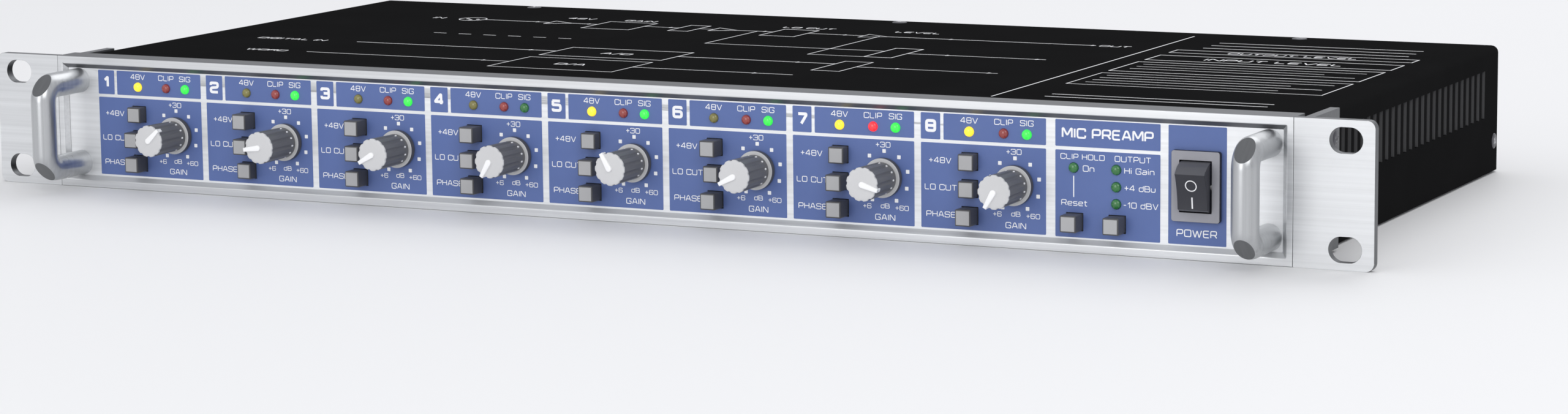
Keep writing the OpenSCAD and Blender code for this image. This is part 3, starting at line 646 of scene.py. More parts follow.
def cover_outline(inset):
    """The cover's section in X and Z, from the foot of the right side round to the left."""
    w, t, r = SIDE_X - inset, COVER_TOP - inset, max(0.3, 2.4 - inset)
    outline = [(w, CASE_BOTTOM), (w, VENT_Z0), (w, VENT_Z1)]
    outline += [(w - r + r * math.cos(a), t - r + r * math.sin(a))
                for a in (math.pi / 2 * i / 6 for i in range(7))]
    return outline + [(-x, z) for x, z in reversed(outline)]


def top_cover():
    """A folded sheet with a row of slots in each side and a rounded, turned-in rear edge; the walls of the
    slots are coloured a lighter grey as painted light.
    """
    shell = bmesh.new()
    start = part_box("top_cover")[0].y / MM
    slots = [VENT_FIRST + VENT_PITCH * i for i in range(VENTS)]
    lip_x, lip_z, lip_in = 213.5, 18.2, 2.6
    stations = [start] + [y + s * VENT_W / 2 for y in slots for s in (-1, 1)] + [REAR_Y - lip_in, REAR_Y]
    outer = [[shell.verts.new((x, y, z)) for x, z in cover_outline(0)] for y in stations[:-1]]
    inner = [[shell.verts.new((x, y, z)) for x, z in cover_outline(SHEET)] for y in stations]
    bend = 2.2
    end = REAR_Y + SHEET
    for i in range(6):
        a = math.pi / 2 * i / 5
        inset, y = bend * (1 - math.cos(a)), end - bend * (1 - math.sin(a))
        outer.append([shell.verts.new((x, y, z)) for x, z in cover_outline(inset)])
    for y in (end, REAR_Y):
        lip = [(max(-lip_x, min(lip_x, x)), min(lip_z, z)) for x, z in cover_outline(lip_in)]
        outer.append([shell.verts.new((x, y, z)) for x, z in lip])
    count = len(outer[0])
    side_slot = (1, count - 3)
    for rows, flip in ((outer, False), (inner, True)):
        for i, (a, b) in enumerate(zip(rows, rows[1:])):
            for j in range(count - 1):
                if j in side_slot and i % 2 == 1 and i < 2 * VENTS:
                    continue
                quad = (a[j], b[j], b[j + 1], a[j + 1])
                shell.faces.new(reversed(quad) if flip else quad)
    for i in range(1, 2 * VENTS, 2):
        for j in side_slot:
            loop = ((i, j), (i + 1, j), (i + 1, j + 1), (i, j + 1), (i, j))
            for (i0, j0), (i1, j1) in zip(loop, loop[1:]):
                shell.faces.new((outer[i0][j0], inner[i0][j0], inner[i1][j1], outer[i1][j1]))
    for j in range(count - 1):
        shell.faces.new((outer[0][j], outer[0][j + 1], inner[0][j + 1], inner[0][j]))
        shell.faces.new((outer[-1][j], inner[-1][j], inner[-1][j + 1], outer[-1][j + 1]))
    for j in (0, count - 1):
        edge = [row[j] for row in outer] + [row[j] for row in reversed(inner)]
        shell.faces.new(edge)
    cover = Build()
    cover.add(shell, COVER)
    # painted light on the walls of the side slots
    cover.mats.append(SLOT_WALL_LIGHT)
    mid_sheet = SIDE_X - SHEET / 2
    for face in cover.mesh.faces:
        at = face.calc_center_median()
        in_slots = VENT_Z0 < at.z < VENT_Z1 and slots[0] - 2 < at.y < slots[-1] + 2
        if in_slots and abs(abs(at.x) - mid_sheet) < 0.05:
            face.material_index = 1
    cover.done("cover_shell", "case", "case_black", replaces=["top_cover"])


top_cover()


def frame_tone(normal):
    """Bright in front, painted shade on the bevel above the plate, soft on the bevel below it, and a darker
    painted shade on the faces that do not face the front.
    """
    if normal.y > -0.2:
        return 1
    if normal.z < -0.4:
        return 2
    return 3 if normal.z > 0.4 else 0


softened("chassis_tray", [REAR], pierced=True)
# the frame gets lit and painted-shade copies of its aluminium by the way each face points
softened("front_frame", [SILVER, SHADED, UNDER_SHADE, SOFT], 0.22, 3, pick=frame_tone,
         cuts=(-214.8, 214.8))
softened("front_plate", [PLATE], pierced=True)
# painted shade on the ear faces that do not face the front
softened("rack_ears", [EAR, SHADED], 0.28, 3, pick=lambda n: 0 if n.y < -0.2 else 1)
# painted shade on the bezel faces that do not face the front
softened("power_switch_body", [BEZEL, BEZEL_SHADE], 0.35, 3,
         pick=lambda n: 0 if n.y < -0.5 else 1)
softened("mains_inlet", [BLACK], 0.3, 3)
softened("optical_ports", [BLACK], 0.15)
softened("mode_switch", [RED], pierced=True)
softened("dsub_connector", [NICKEL], 0.15)
softened("bnc_socket", [NICKEL], 0.2)
softened("line_jacks", [BLACK], 0.2)
softened("combo_sockets", [BLACK], 0.25, 3)


def handles():
    """Round bars bent back to the plate, each with a flat cut across its two outer corners; the cuts are
    coloured dark as a painted reflection.
    """
    r, bend, post, out, cut = 4.1, 5.0, 13.8, 19.0, 7.8
    turns, sides = 14, 64
    path = [(PLATE_Y, post, 0.0)]
    path += [(bend - out - bend * math.sin(a), post - bend + bend * math.cos(a), a)
             for a in (math.pi / 2 * i / turns for i in range(turns + 1))]
    path += [(y, -z, math.pi - a) for y, z, a in reversed(path)]
    both = Build()
    both.mats = [HANDLE, HANDLE_CUT_REFLECTION]
    for side in (-1, 1):
        bar = bmesh.new()
        rings = []
        for y, z, a in path:
            rings.append([bar.verts.new((side * HANDLE_X + r * math.cos(t), y - r * math.sin(t) * math.sin(a),
                                         z + r * math.sin(t) * math.cos(a)))
                          for t in (2 * math.pi * i / sides for i in range(sides))])
        for low, high in zip(rings, rings[1:]):
            for i in range(sides):
                bar.faces.new((low[i - 1], low[i], high[i], high[i - 1]))
        for ring in (rings[0], rings[-1]):
            bar.faces.new(ring)
        ends = []
        for z in (-1, 1):
            outward = Vector((0, -1, z)).normalized()
            middle = Vector((side * HANDLE_X, bend - out, z * (post - bend)))
            hit = bmesh.ops.bisect_plane(bar, geom=bar.verts[:] + bar.edges[:] + bar.faces[:],
                                         plane_co=middle + outward * cut, plane_no=outward,
                                         clear_outer=True)["geom_cut"]
            rim = [g for g in hit if isinstance(g, bmesh.types.BMEdge)]
            ends += bmesh.ops.holes_fill(bar, edges=rim, sides=0)["faces"]
        marks = [face.calc_center_median().copy() for face in ends]
        both.add(bar, HANDLE)
        both.mesh.faces.ensure_lookup_table()
        for face in both.mesh.faces:
            if any((face.calc_center_median() - at).length < 1e-3 for at in marks):
                face.material_index = 1
    both.done("handle_bars", "case", "handle_aluminium", replaces=["handles"], smooth=25)


handles()
electronics = frame["nodes"]["electronics"]
electronics.data.materials.clear()
electronics.data.materials.append(BOARD)


# ---- printed front plate ----
def front(height=0.0):
    return facing_front(0, PLATE_Y - height, 0)


def span(x0, x1, z0, z1, r=0.3):
    return moved(rounded(x1 - x0, z1 - z0, r), (x0 + x1) / 2, (z0 + z1) / 2)


def square_hole(button, w=5.5):
    return span(button.x - w / 2, button.x + w / 2, button.z - w / 2, button.z + w / 2, 0.15)


for k in CHANNELS:
    col = BUTTONS["48v"][k].x
    blue_field(f"number_field_{k + 1}", [span(col - 16.03, col - 9.63, 9.6, 17.6)])
    blue_field(f"lamp_field_{k + 1}", [span(col - 8.57, col + 24.63, 9.6, 17.6)]
               + [ring_points(col + x, LAMP_Z, 1.56) for x in LAMP_X])
    blue_field(f"control_field_{k + 1}", [span(col - 16.0, col + 24.63, -17.35, 8.6)]
               + [ring_points(KNOBS[k].x, KNOBS[k].z, 3.5)] + [square_hole(b[k]) for b in BUTTONS.values()])
blue_field("name_field", [span(142.33, 175.5, 9.63, 17.63)])
blue_field("master_field", [span(142.33, 175.5, -17.5, 8.58)]
           + [ring_points(x, z, 1.6) for x, z in MASTER_LAMPS]
           + [square_hole(centre(node)) for node in ("clip_reset_button", "output_level_button")])
blue_field("power_field", [span(178.0, 196.04, -17.5, 17.63), span(179.9, 194.1, -10.1, 10.1)])

ink = Print(WHITE, front(FIELD))
for k in CHANNELS:
    col = BUTTONS["48v"][k].x
    knob = KNOBS[k]
    ink.text(str(k + 1), col - 12.75, 13.7, 3.0, weight=3.0)
    for x, word in zip(LAMP_X, ("48V", "CLIP", "SIG")):
        ink.text(word, col + x, 15.85, 1.6)
    for row, word, x in (("48v", "+48V", -13.3), ("locut", "LO CUT", -14.7), ("phase", "PHASE", -14.2)):
        ink.text(word, col + x, BUTTONS[row][k].z - 0.08, 1.6, align=0)
    for i in range(9):
        angle = math.radians(-150 + 37.5 * i)
        ink.area(moved(rounded(1.15, 1.15, 0.1, 1), knob.x + SCALE_R * math.sin(angle),
                       knob.z + SCALE_R * math.cos(angle)))
    for words, x, z, cap in (("+30", -0.37, 9.97, 1.5), ("+6", -5.77, -9.03, 1.35), ("dB", 0.23, -8.75, 1.35),
                             ("+60", 5.83, -9.13, 1.35), ("GAIN", 0.23, -12.23, 1.63)):
        ink.text(words, knob.x + x, knob.z + z, cap)
ink.text("MIC PREAMP", 158.9, 13.7, 2.6, weight=2.1)
for words, x, z, cap, align in (
        ("CLIP HOLD", 151.0, 6.7, 1.5, 0.5), ("OUTPUT", 166.9, 6.7, 1.55, 0.5), ("On", 151.2, 3.3, 1.65, 0),
        ("Hi Gain", 164.3, 3.3, 1.6, 0), ("+4 dBu", 164.3, -1.8, 1.6, 0), ("-10 dBV", 164.0, -6.9, 1.6, 0),
        ("Reset", 148.4, -7.1, 1.6, 0.5)):
    ink.text(words, x, z, cap, align=align)
ink.line([(148.2, 0.96), (148.2, -5.4)], 0.3)
ink.text("POWER", 186.9, -14.1, 1.95, weight=1.5)
ink.done("front_legends", "case", "plate_aluminium", smooth=30)


# ---- lamps ----
def lamp_dome(build, x, z, mat, r=1.5):
    arc = [(r, -6), (r, 0.35)] + [(r * math.cos(a), 0.35 + 0.75 * math.sin(a))
                                  for a in (0.35, 0.7, 1.05, 1.35)] + [(0, 1.1)]
    build.turned(arc, mat, facing_front(x, PLATE_Y, z), 24)


lamps = Build()
for k in CHANNELS:
    col = BUTTONS["48v"][k].x
    states = ("supply_lit" if k + 1 in LIT_SUPPLY else "supply_dark",
              "clip_lit" if k + 1 in LIT_CLIP else "clip_dark",
              "signal_dark" if k + 1 in DARK_SIGNAL else "signal_lit")
    for x, state in zip(LAMP_X, states):
        lamp_dome(lamps, col + x, LAMP_Z, LAMPS[state])
for x, z in MASTER_LAMPS:
    lamp_dome(lamps, x, z, LAMPS["signal_dark"])
lamps.done("status_lamps", "case", "led_lens", replaces=["status_leds"])


# ---- gain knobs ----
def fluted(radius, height, angle, flutes=12, base=3.4, deep=0.42):
    """Knob wall: scooped grooves that run out just above the skirt."""
    start = min(1, max(0, (height - base) / 2.2))
    swell = max(0.0, math.cos(flutes * angle)) ** 0.8
    return radius - deep * swell * math.sqrt(start)


def gain_knob(k):
    knob = Build()
    c = KNOBS[k]
    place = spun(facing_front(c.x, PLATE_Y, c.z), -POINTER[k] - 15)
    knob.turned([(0, 0.3), (5.9, 0.3), (6.05, 0.45), (6.05, 2.28), (0, 2.28)], KNOB_SKIRT, place, 64)
    knob.turned([(4.5, 2.2), (6.04, 2.2), (6.04, 2.28), (5.92, 2.4), (4.5, 2.4), (4.5, 2.2)],
                KNOB_RING, place, 64)
    heights = (2.3, 2.9, 3.4, 3.8, 4.2, 4.6, 5.2, 6.6, 9, 12, 15.6, 16.0)
    wall = [(4.95 + 0.25 * (h - 2.3) / 13.7, h) for h in heights]
    knob.turned([(0, 2.3)] + wall + [(4.8, 16.1), (0, 16.1)], KNOB_BODY, place, 144, fluted)
    cap = [(0, 15.75), (5.18, 15.75), (5.18, 16.2), (5.1, 16.38), (4.9, 16.48), (4.2, 16.5), (0, 16.5)]
    knob.turned(cap, KNOB_CAP, place, 144, lambda r, h, a: fluted(r, h, a, deep=0.3))
    # painted highlights: a small white bead at the foot of each flute stands for the glint on the groove's
    # end
    for i in range(12):
        foot = spun(place, 30 * i) @ Matrix.Translation((4.66, 0, 3.9))
        side = [(0.38 * math.cos(a), 0.5 * math.sin(a)) for a in (-0.8, -0.3, 0.3, 0.8)]
        knob.turned([(0, -0.5)] + side + [(0, 0.5)], KNOB_MARK_AND_GLINT, foot, 12)
    mark = spun(facing_front(c.x, PLATE_Y, c.z), -POINTER[k])
    pointer = [(0.95 * math.cos(a), 0.2 + 0.95 * math.sin(a))
               for a in (math.pi * (1 + i / 10) for i in range(11))]
    knob.prism(pointer + [(0.6, 5.6), (-0.6, 5.6)], 0.85, KNOB_MARK_AND_GLINT, mark @ Matrix.Translation((0, 0, 16.3)),
               0.22, 3)
    knob.box((-0.58, 4.8, 14.6), (0.58, 5.6, 16.9), KNOB_MARK_AND_GLINT, 0.2, 3, mark)
    knob.turned([(0, -14), (2.7, -14), (3, -13.7), (3, 0.6), (0, 0.6)], STEEL, place, 32)
    knob.done(f"fluted_knob_{k + 1}", f"gain_knob_{k + 1}", "knob_grey", replaces=[f"gain_knob_{k + 1}"])


for k in CHANNELS:
    gain_knob(k)


# ---- push buttons ----
def push_button(node):
    low, high = (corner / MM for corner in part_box(node))
    cap_back = low.y + 8.8
    button = Build()
    # painted shade on the body and its sides, painted light on the slab across its face
    button.box((low.x, low.y + 0.05, low.z), (high.x, cap_back, high.z), BUTTON_SHADED_SIDES, 0.38, 3)
    button.box((low.x + 0.42, low.y, low.z + 0.42), (high.x - 0.42, low.y + 0.3, high.z - 0.42),
               BUTTON_LIT_FACE, 0.05, 1)
    mid = (low + high) / 2
    button.box((mid.x - 1.5, cap_back - 0.2, mid.z - 1.5), (mid.x + 1.5, high.y, mid.z + 1.5), BLACK, 0.15)
    button.done(node + "_cap", node, "button_grey", replaces=[node])


for row in BUTTONS:
    for k in CHANNELS:
        push_button(f"button_{row}_{k + 1}")
push_button("clip_reset_button")
push_button("output_level_button")


# ---- power rocker ----
def power_rocker():
    pivot = Vector((187, 0.8, 0))
    tilt = Matrix.Rotation(math.radians(14), 4, "X")
    r, dish_r, face, dish_deep = 7.45, 28.0, 5.0, 0.6
    half = math.sqrt(r * r - face * face)

    def dish_y(z):
        return -face - (dish_r - dish_deep) + math.sqrt(dish_r ** 2 - z * z)

    dish = [(dish_y(z), z) for z in (half * t / 8 for t in range(-8, 9))]
    reach = math.atan2(half, face)
    back = math.radians(66)
    top = [(-r * math.cos(a), r * math.sin(a))
           for a in (reach + (math.pi - back - reach) * t / 12 for t in range(1, 13))]
    bottom = [(y, -z) for y, z in reversed(top)]
    along_x = Matrix(((0, 0, 1, 0), (1, 0, 0, 0), (0, 1, 0, 0), (0, 0, 0, 1)))
    place = Matrix.Translation(pivot) @ tilt @ Matrix.Translation((-4.7, 0, 0)) @ along_x
    rocker = Build()
    part = bmesh.new()
    base = [part.verts.new((y, z, 0)) for y, z in dish + top + bottom]
    cap = part.faces.new(base)
    grown = bmesh.ops.extrude_face_region(part, geom=[cap])["geom"]
    bmesh.ops.translate(part, verts=[g for g in grown if isinstance(g, bmesh.types.BMVert)], vec=(0, 0, 9.4))
    rims = [e for e in part.edges if abs(e.verts[0].co.z - e.verts[1].co.z) < 1e-6]
    bmesh.ops.bevel(part, geom=rims, offset=0.3, segments=3, profile=0.5, affect="EDGES")
    rocker.add(part, ROCKER, place)
    # painted light on the rocker's upward and downward faces
    rocker.mats.append(ROCKER_LIT_ARCS)
    for face_up in rocker.mesh.faces:
        if abs(face_up.normal.z) > 0.5:
            face_up.material_index = 1
    pins = Matrix.Translation(pivot) @ Matrix.Rotation(math.pi / 2, 4, "Y")
    rocker.turned([(0, -6.2), (1, -6.2), (1, 6.2), (0, 6.2)], STEEL, pins, 24)
    rocker.done("rocker_cap", "power_rocker", "rocker_black", replaces=["power_rocker"])

    def on_face(z):
        lean = Matrix.Rotation(math.asin(z / dish_r) + math.pi / 2, 4, "X")
        return Matrix.Translation(pivot) @ tilt @ Matrix.Translation((0, dish_y(z) - 0.05, z)) @ lean

    circle = Print(WHITE, on_face(1.9))
    circle.line(loop_points(0, 0, 1.65, 28), 0.3)
    circle.done("rocker_off_sign", "power_rocker", "rocker_black")
    stroke = Print(WHITE, on_face(-3.4))
    stroke.line([(0, 1.7), (0, -1.7)], 0.42)
    stroke.done("rocker_on_sign", "power_rocker", "rocker_black")


power_rocker()


# ---- rear connectors ----
def rear(x, z, out=0.0):
    """A place on the rear panel, x to the right as read from behind, out of the panel by out."""
    return facing_back(-x, REAR_Y + out, z)


MIC_X = [0.8 + 27 * k for k in CHANNELS]
LINE_X = [-142.3 + 16.5 * k for k in CHANNELS]
MIC_Z, LINE_Z = 2.0, -7.3

sockets = Build()
for x in LINE_X:
    sockets.turned([(3.22, 1.2), (4.72, 1.2), (4.72, 1.95), (4.5, 2.12), (3.45, 2.12), (3.22, 1.95),
                    (3.22, 1.2)], CHROME, rear(x, LINE_Z), 40)
    for turn in (60, 180, 300):
        sockets.box((2.2, -0.5, -9), (3.15, 0.5, -1.5), GOLD, 0.12, 2, spun(rear(x, LINE_Z), turn))
sockets.done("line_jack_rings", "case", "jack_plastic")

contacts = Build()
for x in MIC_X:
    for px, pz in ((-5.6, 0), (5.6, 0), (0, -5.6)):
        contacts.turned([(0.7, -11), (1.1, -11), (1.1, -4.6), (0.7, -4.6), (0.7, -11)], GOLD,
                        rear(x + px, MIC_Z + pz, 1.4), 16)
    for turn in (90, 205, 335):
        contacts.box((2.3, -0.45, -14), (3.15, 0.45, -3), GOLD, 0.12, 2, spun(rear(x, MIC_Z, 1.4), turn))
    contacts.turned([(10.4, 0), (11.6, 0), (11.6, 0.06), (11.5, 0.12), (10.5, 0.12), (10.4, 0.06),
                     (10.4, 0)], BLACK_GLOSS, rear(x, MIC_Z, 1.4), 64)
contacts.done("mic_socket_contacts", "case", "combo_plastic")

levers = Build()
for i in range(6):
    x = MODE_X + (i - 2.5) * LEVER_PITCH
    shift = -1.1 if i in LEVERS_DOWN else 1.1
    levers.box((x - 0.55, 9.55 + shift - 0.85, 0.2), (x + 0.55, 9.55 + shift + 0.85, 1.45), LEVER, 0.12, 2,
               rear(0, 0))
levers.done("mode_levers", "case", "mode_red")


def d_outline(w, h, inset=0.0):
    w, h = w - 2 * inset, h - 2 * inset
    side = [(w / 2, h / 2), (w / 2 - 2.0, -h / 2), (-w / 2 + 2.0, -h / 2), (-w / 2, h / 2)]
    pts, _ = soft_corners([tuple(p) for p in side] + [side[0]], 1.4, 4)
    return [tuple(p) for p in pts]


face = Build()
face.prism(d_outline(39, 8.4, 0.75), 0.06, BLACK, rear(DATA_X, 10.3, DATA_OUT))
for holes, z in ((13, 11.7), (12, 8.9)):
    for i in range(holes):
        x = DATA_X + (i - (holes - 1) / 2) * 2.76
        face.turned([(0.42, 0), (0.72, 0), (0.72, 0.12), (0.42, 0.12), (0.42, 0)], GOLD,
                    rear(x, z, DATA_OUT), 14)
face.done("data_connector_face", "case", "connector_shell")

word = Build()
word.turned([(1.0, 6), (3.7, 6), (3.7, 12.2), (1.0, 12.2), (1.0, 6)], LEVER, rear(WORD_X, WORD_Z), 32)
word.turned([(0.35, 6), (0.95, 6), (0.95, 13.6), (0.35, 13.6), (0.35, 6)], GOLD, rear(WORD_X, WORD_Z), 20)
word.turned([(4.83, 4.2), (5.05, 4.3), (5.05, 5.0), (4.83, 5.1)], NICKEL, rear(WORD_X, WORD_Z), 40)
word.done("word_socket_core", "case", "bnc_nickel")

blades = Build()
for x, z in ((2, 7), (-2, 0), (2, -7)):
    blades.box((MAINS_X + x - 2.06, z - 1.06, -12), (MAINS_X + x + 2.06, z + 1.06, -2.3), NICKEL, 0.35, 2,
               rear(0, 0))
blades.done("mains_blades", "case", "socket_plastic")


def latch(k):
    low, high = (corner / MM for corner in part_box(f"input_latch_{k + 1}"))
    mid = (low + high) / 2
    tab = Build()
    place = facing_back(mid.x, high.y - 1.5, mid.z)
    shape = [(-5.1, 1.6), (-4.2, 2.6), (-2.6, 2.8), (2.6, 2.8), (4.2, 2.6), (5.1, 1.6), (5.1, 0.2),
             (3.6, -1.0), (3.2, -2.4), (2.4, -2.8), (-2.4, -2.8), (-3.2, -2.4), (-3.6, -1.0), (-5.1, 0.2)]
    pts, _ = soft_corners(shape + shape[:1], 0.6, 3)
    tab.prism([tuple(p) for p in pts], 1.5, NICKEL, place, 0.25)
    tab.box((-2.5, -0.6, -16), (2.5, 0.6, 0.1), NICKEL, 0.15, 2,
            facing_back(mid.x, high.y - 1.5, MIC_Z + 10.65))
    tab.done(f"latch_tab_{k + 1}", f"input_latch_{k + 1}", "latch_nickel", replaces=[f"input_latch_{k + 1}"])
    word_push = Print(GREY_INK, place @ Matrix.Translation((0, 0, 1.5)))
    word_push.text("PUSH", 0, 0.55, 1.5, weight=1.5)
    word_push.done(f"latch_word_{k + 1}", f"input_latch_{k + 1}", "latch_nickel")


for k in CHANNELS:
    latch(k)


# ---- screws ----
def screw_mesh():
    """One cross-recess pan head of radius 1, its seat at the origin, facing +Z."""
    head = Build()
    head.turned([(0, 0), (0.97, 0), (1, 0.05), (0.97, 0.2), (0.85, 0.34), (0.62, 0.43), (0, 0.47)],
                SCREW, steps=32)
    cross = Build()
    for turn in (0, 90):
        cross.box((-0.52, -0.11, 0.16), (0.52, 0.11, 0.9), RECESS, 0, 1, spun(Matrix.Identity(4), turn))
    objects = []
    for name, build in (("head", head), ("cross", cross)):
        mesh = bpy.data.meshes.new(name)
        build.mesh.to_mesh(mesh)
        build.mesh.free()
        for mat in build.mats:
            mesh.materials.append(mat)
        obj = bpy.data.objects.new(name, mesh)
        bpy.context.scene.collection.objects.link(obj)
        objects.append(obj)
    cut = objects[0].modifiers.new("cut", "BOOLEAN")
    cut.object = objects[1]
    cut.operation = "DIFFERENCE"
    cut.solver = "EXACT"
    cut.use_self = True
    cut.material_mode = "TRANSFER"
    bpy.context.view_layer.update()
    mesh = bpy.data.meshes.new_from_object(objects[0].evaluated_get(bpy.context.evaluated_depsgraph_get()))
    for obj in objects:
        bpy.data.objects.remove(obj)
    return mesh


def place_screws(places):
    """One piece of many screws; places holds (matrix, head radius, head height, shank length)."""
    unit = screw_mesh()
    unit_height = 0.47
    build = Build()
    build.mats = list(unit.materials)
    for place, r, height, shank in places:
        grown = unit.copy()
        grown.transform(place @ Matrix.Diagonal((r, r, height / unit_height, 1)))
        build.mesh.from_mesh(grown)
        bpy.data.meshes.remove(grown)
        build.turned([(0, -shank), (0.9, -shank), (1.15, -shank + 0.5), (1.15, 0.1), (0, 0.1)], SCREW,
                     place, 20)
    build.done("screws", "case", "screw_black", replaces=["case_screws"])


EAR_X = SIDE_X + 3.1
COVER_SCREW = (2.6, 0.4, 4)      # head radius, head height and shank length
EAR_SCREW = (3.5, 1.5, 7)
SOCKET_SCREW = (2.5, 1.6, 6)
screws = []
for n, x in enumerate((-149, 0, 149)):
    screws.append((spun(Matrix.Translation((x, 203, COVER_TOP)), 20 + 25 * n), *COVER_SCREW))
for s in (-1, 1):
    out = Matrix.Rotation(s * math.pi / 2, 4, "Y")
    for n, y in enumerate((40.8, 204.6)):
        screws.append((spun(Matrix.Translation((s * SIDE_X, y, -11)) @ out, 12 + 33 * n), *COVER_SCREW))
    for n, z in enumerate((-12, 12)):
        screws.append((spun(Matrix.Translation((s * EAR_X, 26, z)) @ out, 5 + 40 * n), *EAR_SCREW))
for n, x in enumerate(MIC_X):
    for s in (-1, 1):
        screws.append((spun(rear(x + s * 9.5, MIC_Z - s * 12), 17 * n + 30 * s), *SOCKET_SCREW))
place_screws(screws)


# ---- rear printing ----
ink = Print(WHITE, rear(0, 0))
for k, x in enumerate(LINE_X):
    ink.text(str(8 - k), x + 7.3, LINE_Z - 5.5, 1.9)
    if k < 7:
        ink.line([(x + 6.2, LINE_Z), (x + 10.3, LINE_Z)], 0.4)
ink.text("BALANCED LINE LEVEL OUTPUTS", -83.8, -16.6, 1.95)
ink.line([(-16.5, 16.7), (-16.5, -17.7)], 0.7)
for k, x in enumerate(MIC_X):
    ink.text(str(8 - k), x + 8.4, 15.6, 1.9, gap=0)
ink.text("BALANCED MICROPHONE / LINE INPUTS", 95.2, -16.5, 1.95)
for words, x, z in (("MODE", MODE_X, 15.9), ("AUX", -124.5, 15.6), ("MAIN", -109.0, 15.6),
                    ("DIGITAL I/O", DATA_X, 1.2), ("WORD", -46.5, 13.2), ("TERM", -44.6, 9.6)):
    ink.text(words, x, z, 1.9)
ink.text("MAINS", -184.4, 0, 1.9, turn=90)
# diagram of the mode switch
icons = [-177.5 + 5.14 * i for i in range(6)]
for i, x in enumerate(icons):
    ink.line([(x - 0.8, 6.2), (x + 0.8, 6.2), (x + 0.8, 10.0), (x - 0.8, 10.0), (x - 0.8, 6.2)], 0.22)
    low = 6.6 if i in LEVERS_DOWN else 8.1
    ink.area(span(x - 0.55, x + 0.55, low, low + 1.5, 0.1))
    ink.text(str(i + 1), x, 4.6, 1.3)
ink.line([(-181.8, 13.6), (-181.8, -0.6), (-150.2, -0.6), (-150.2, 0.8)], 0.25)
ink.line([(-172.1, 12.2), (-172.1, 14.4), (-157.0, 14.4), (-157.0, 12.2)], 0.25)
for x in icons[1:5]:
    ink.line([(x, 14.4), (x, 12.2)], 0.25)
for x in icons[2:5]:
    ink.line([(x, -0.6), (x, 0.8)], 0.25)
ink.line([(-177.5, -4.2), (-157.0, -4.2), (-157.0, -2.8)], 0.25)
for words, x, z, cap in (("A", -177.5, 12.6, 1.5), ("B", -151.8, 12.6, 1.5), ("48", -166.0, 1.9, 1.3),
                         ("96", -159.0, 1.9, 1.3), ("C", -180.2, -4.2, 1.5)):
    ink.text(words, x, z, cap)
ink.done("rear_legends", "case", "rear_panel", smooth=30)
for n in range(6):
    digit = Print(WHITE, rear(0, 0, 1.0))
    digit.text(str(n + 1), MODE_X + (n - 2.5) * LEVER_PITCH, 6.2, 1.0, weight=1.6)
    digit.done(f"mode_number_{n + 1}", "case", "mode_red")


# ---- drawing printed on the cover: a plain signal chain ----
top = Print(WHITE, Matrix.Translation((0, 0, COVER_TOP)))


def frame_line(x0, y0, x1, y1):
    top.line([(x0, y0), (x1, y0), (x1, y1), (x0, y1), (x0, y0)], 0.4)


def arrow(x, y, size=1.5):
    top.area([(x - size, y - size * 0.7), (x, y), (x - size, y + size * 0.7)])


def amplifier(x, y, size=9):
    top.line([(x, y - size / 2), (x, y + size / 2), (x + size, y), (x, y - size / 2)], 0.4)


def chain(y, stops, arrows):
    for a, b in zip(stops[::2], stops[1::2]):
        top.line([(a, y), (b, y)], 0.4)
    for x in arrows:
        arrow(x, y)


top.line(loop_points(-150, 160, 5), 0.4)
for px, py in ((-2, 0), (2, 0), (0, -2)):
    top.area(ring_points(-150 + px, 160 + py, 0.7, 12))
top.text("IN", -164, 160, 3)
for x in (-118, -52, 6):
    amplifier(x, 160)
for corners in ((-98.7, 147.9, -79.8, 169.9), (-65.7, 151, -58, 169), (-28.7, 148.7, -15.5, 169)):
    frame_line(*corners)
chain(160, (-145, -118, -109, -98.7, -79.8, -65.7, -58, -52, -43, -28.7, -15.5, 6, 15, 60),
      (-122, -101, -68, -31, 0, 40))
for x, words in ((-113, "48V"), (-89, "GAIN"), (-22, "LO CUT"), (20, "LEVEL")):
    top.text(words, x, 175, 3)
for y in (116, 76):
    chain(y, (60, 92), (90,))
    frame_line(32.5, y - 13, 42.4, y + 13)
    chain(y, (42.4, 60), (58,))
for y0, y1 in ((69.6, 92.9), (35.3, 63.5)):
    frame_line(-71.3, y0, -25.4, y1)
    chain((y0 + y1) / 2, (-150, -71.3, -25.4, 32.5), (-80, 20))
for words, x, y, cap in (("A/D", -48, 81, 3.4), ("D/A", -48, 49.4, 3.4), ("DIGITAL IN", -176, 81, 3),
                         ("WORD", -166, 49.4, 3), ("OUT", 99, 160, 3)):
    top.text(words, x, y, cap)
top.line([(60, 160), (92, 160)], 0.4)
arrow(92, 160)
top.line([(32.5, 103), (12, 103), (12, 160)], 0.4)
top.line([(-35, 160), (-35, 120), (32.5, 120)], 0.4)
for x in (-140, -130, -120, -110, -100, -90):
    top.line([(x, 116), (x + 5, 116)], 0.4)
top.line([(113, 198), (113, 22)], 0.5)
for y0, y1 in ((150, 158), (128, 142), (96, 122), (60, 90)):
    frame_line(122, y0, 205, y1)
for y in (182, 174, 166, 34, 28):
    top.line([(128, y), (199, y)], 0.5)
for y in (116, 110, 104, 84, 78, 72, 66):
    top.line([(126, y), (201 - (y % 4) * 6, y)], 0.35)
top.text("INPUT LEVEL", 163.5, 135, 4)
top.text("OUTPUT LEVEL", 163.5, 154, 3.2)
top.done("cover_drawing", "case", "case_black", smooth=30)


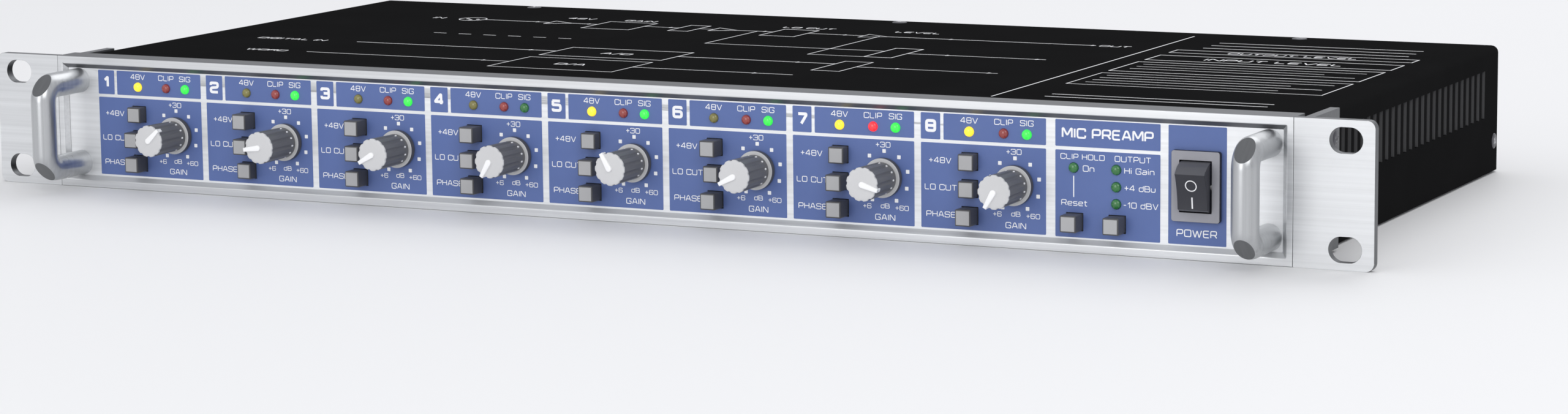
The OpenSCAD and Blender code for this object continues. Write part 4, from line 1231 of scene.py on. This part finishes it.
# ---- floor, light and camera ----
def plain(name, colour, rough):
    mat, _, bsdf = node_material(name)
    bsdf.inputs["Base Color"].default_value = (*colour, 1)
    bsdf.inputs["Roughness"].default_value = rough
    return mat


def studio():
    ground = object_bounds()[0][2]
    mesh = bpy.data.meshes.new("floor")
    half = 6.0
    corners = [(x * half, y * half, ground) for x, y in ((-1, -1), (1, -1), (1, 1), (-1, 1))]
    mesh.from_pydata(corners, [], [(0, 1, 2, 3)])
    mesh.materials.append(plain("pale_floor", (0.90, 0.90, 0.90), 0.6))
    floor = bpy.data.objects.new("floor", mesh)
    bpy.context.scene.collection.objects.link(floor)
    floor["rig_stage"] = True
    world = bpy.data.worlds.new("studio")
    world.use_nodes = True
    world.node_tree.nodes["Background"].inputs["Color"].default_value = (0.95, 0.96, 1.0, 1)
    world.node_tree.nodes["Background"].inputs["Strength"].default_value = 0.72
    bpy.context.scene.world = world
    bpy.context.scene.view_settings.view_transform = "Standard"
    for name, at, power, size in (("key", (1.3, -1.5, 1.3), 13, 1.3), ("fill", (-1.5, -1.3, 0.9), 2, 1.2),
                                  ("low", (-0.35, -1.7, 0.35), 5, 0.8), ("back", (0.2, 1.7, 1.8), 14, 1.8)):
        light = bpy.data.lights.new(name, "AREA")
        light.energy = power
        light.size = size
        lamp_object = bpy.data.objects.new(name, light)
        lamp_object.location = at
        aim = Vector((0, 0.08, 0)) - Vector(at)
        lamp_object.rotation_euler = aim.to_track_quat("-Z", "Y").to_euler()
        bpy.context.scene.collection.objects.link(lamp_object)


def camera():
    """Looks at the front from the right and a little above."""
    right = Vector((0.89806, 0.43974, -0.01058)).normalized()
    back = Vector((0.43613, -0.88705, 0.15143)).normalized()
    up = back.cross(right).normalized()
    right = up.cross(back)
    data = bpy.data.cameras.new("camera")
    data.lens = 92.81
    data.sensor_width = 36
    data.sensor_fit = "HORIZONTAL"
    data.clip_start = 0.01
    obj = bpy.data.objects.new("camera", data)
    turn = Matrix((right, up, back)).transposed().to_4x4()
    obj.matrix_world = Matrix.Translation((0.5933, -1.0984, 0.1738)) @ turn
    bpy.context.scene.collection.objects.link(obj)
    bpy.context.scene.camera = obj


studio()
camera()
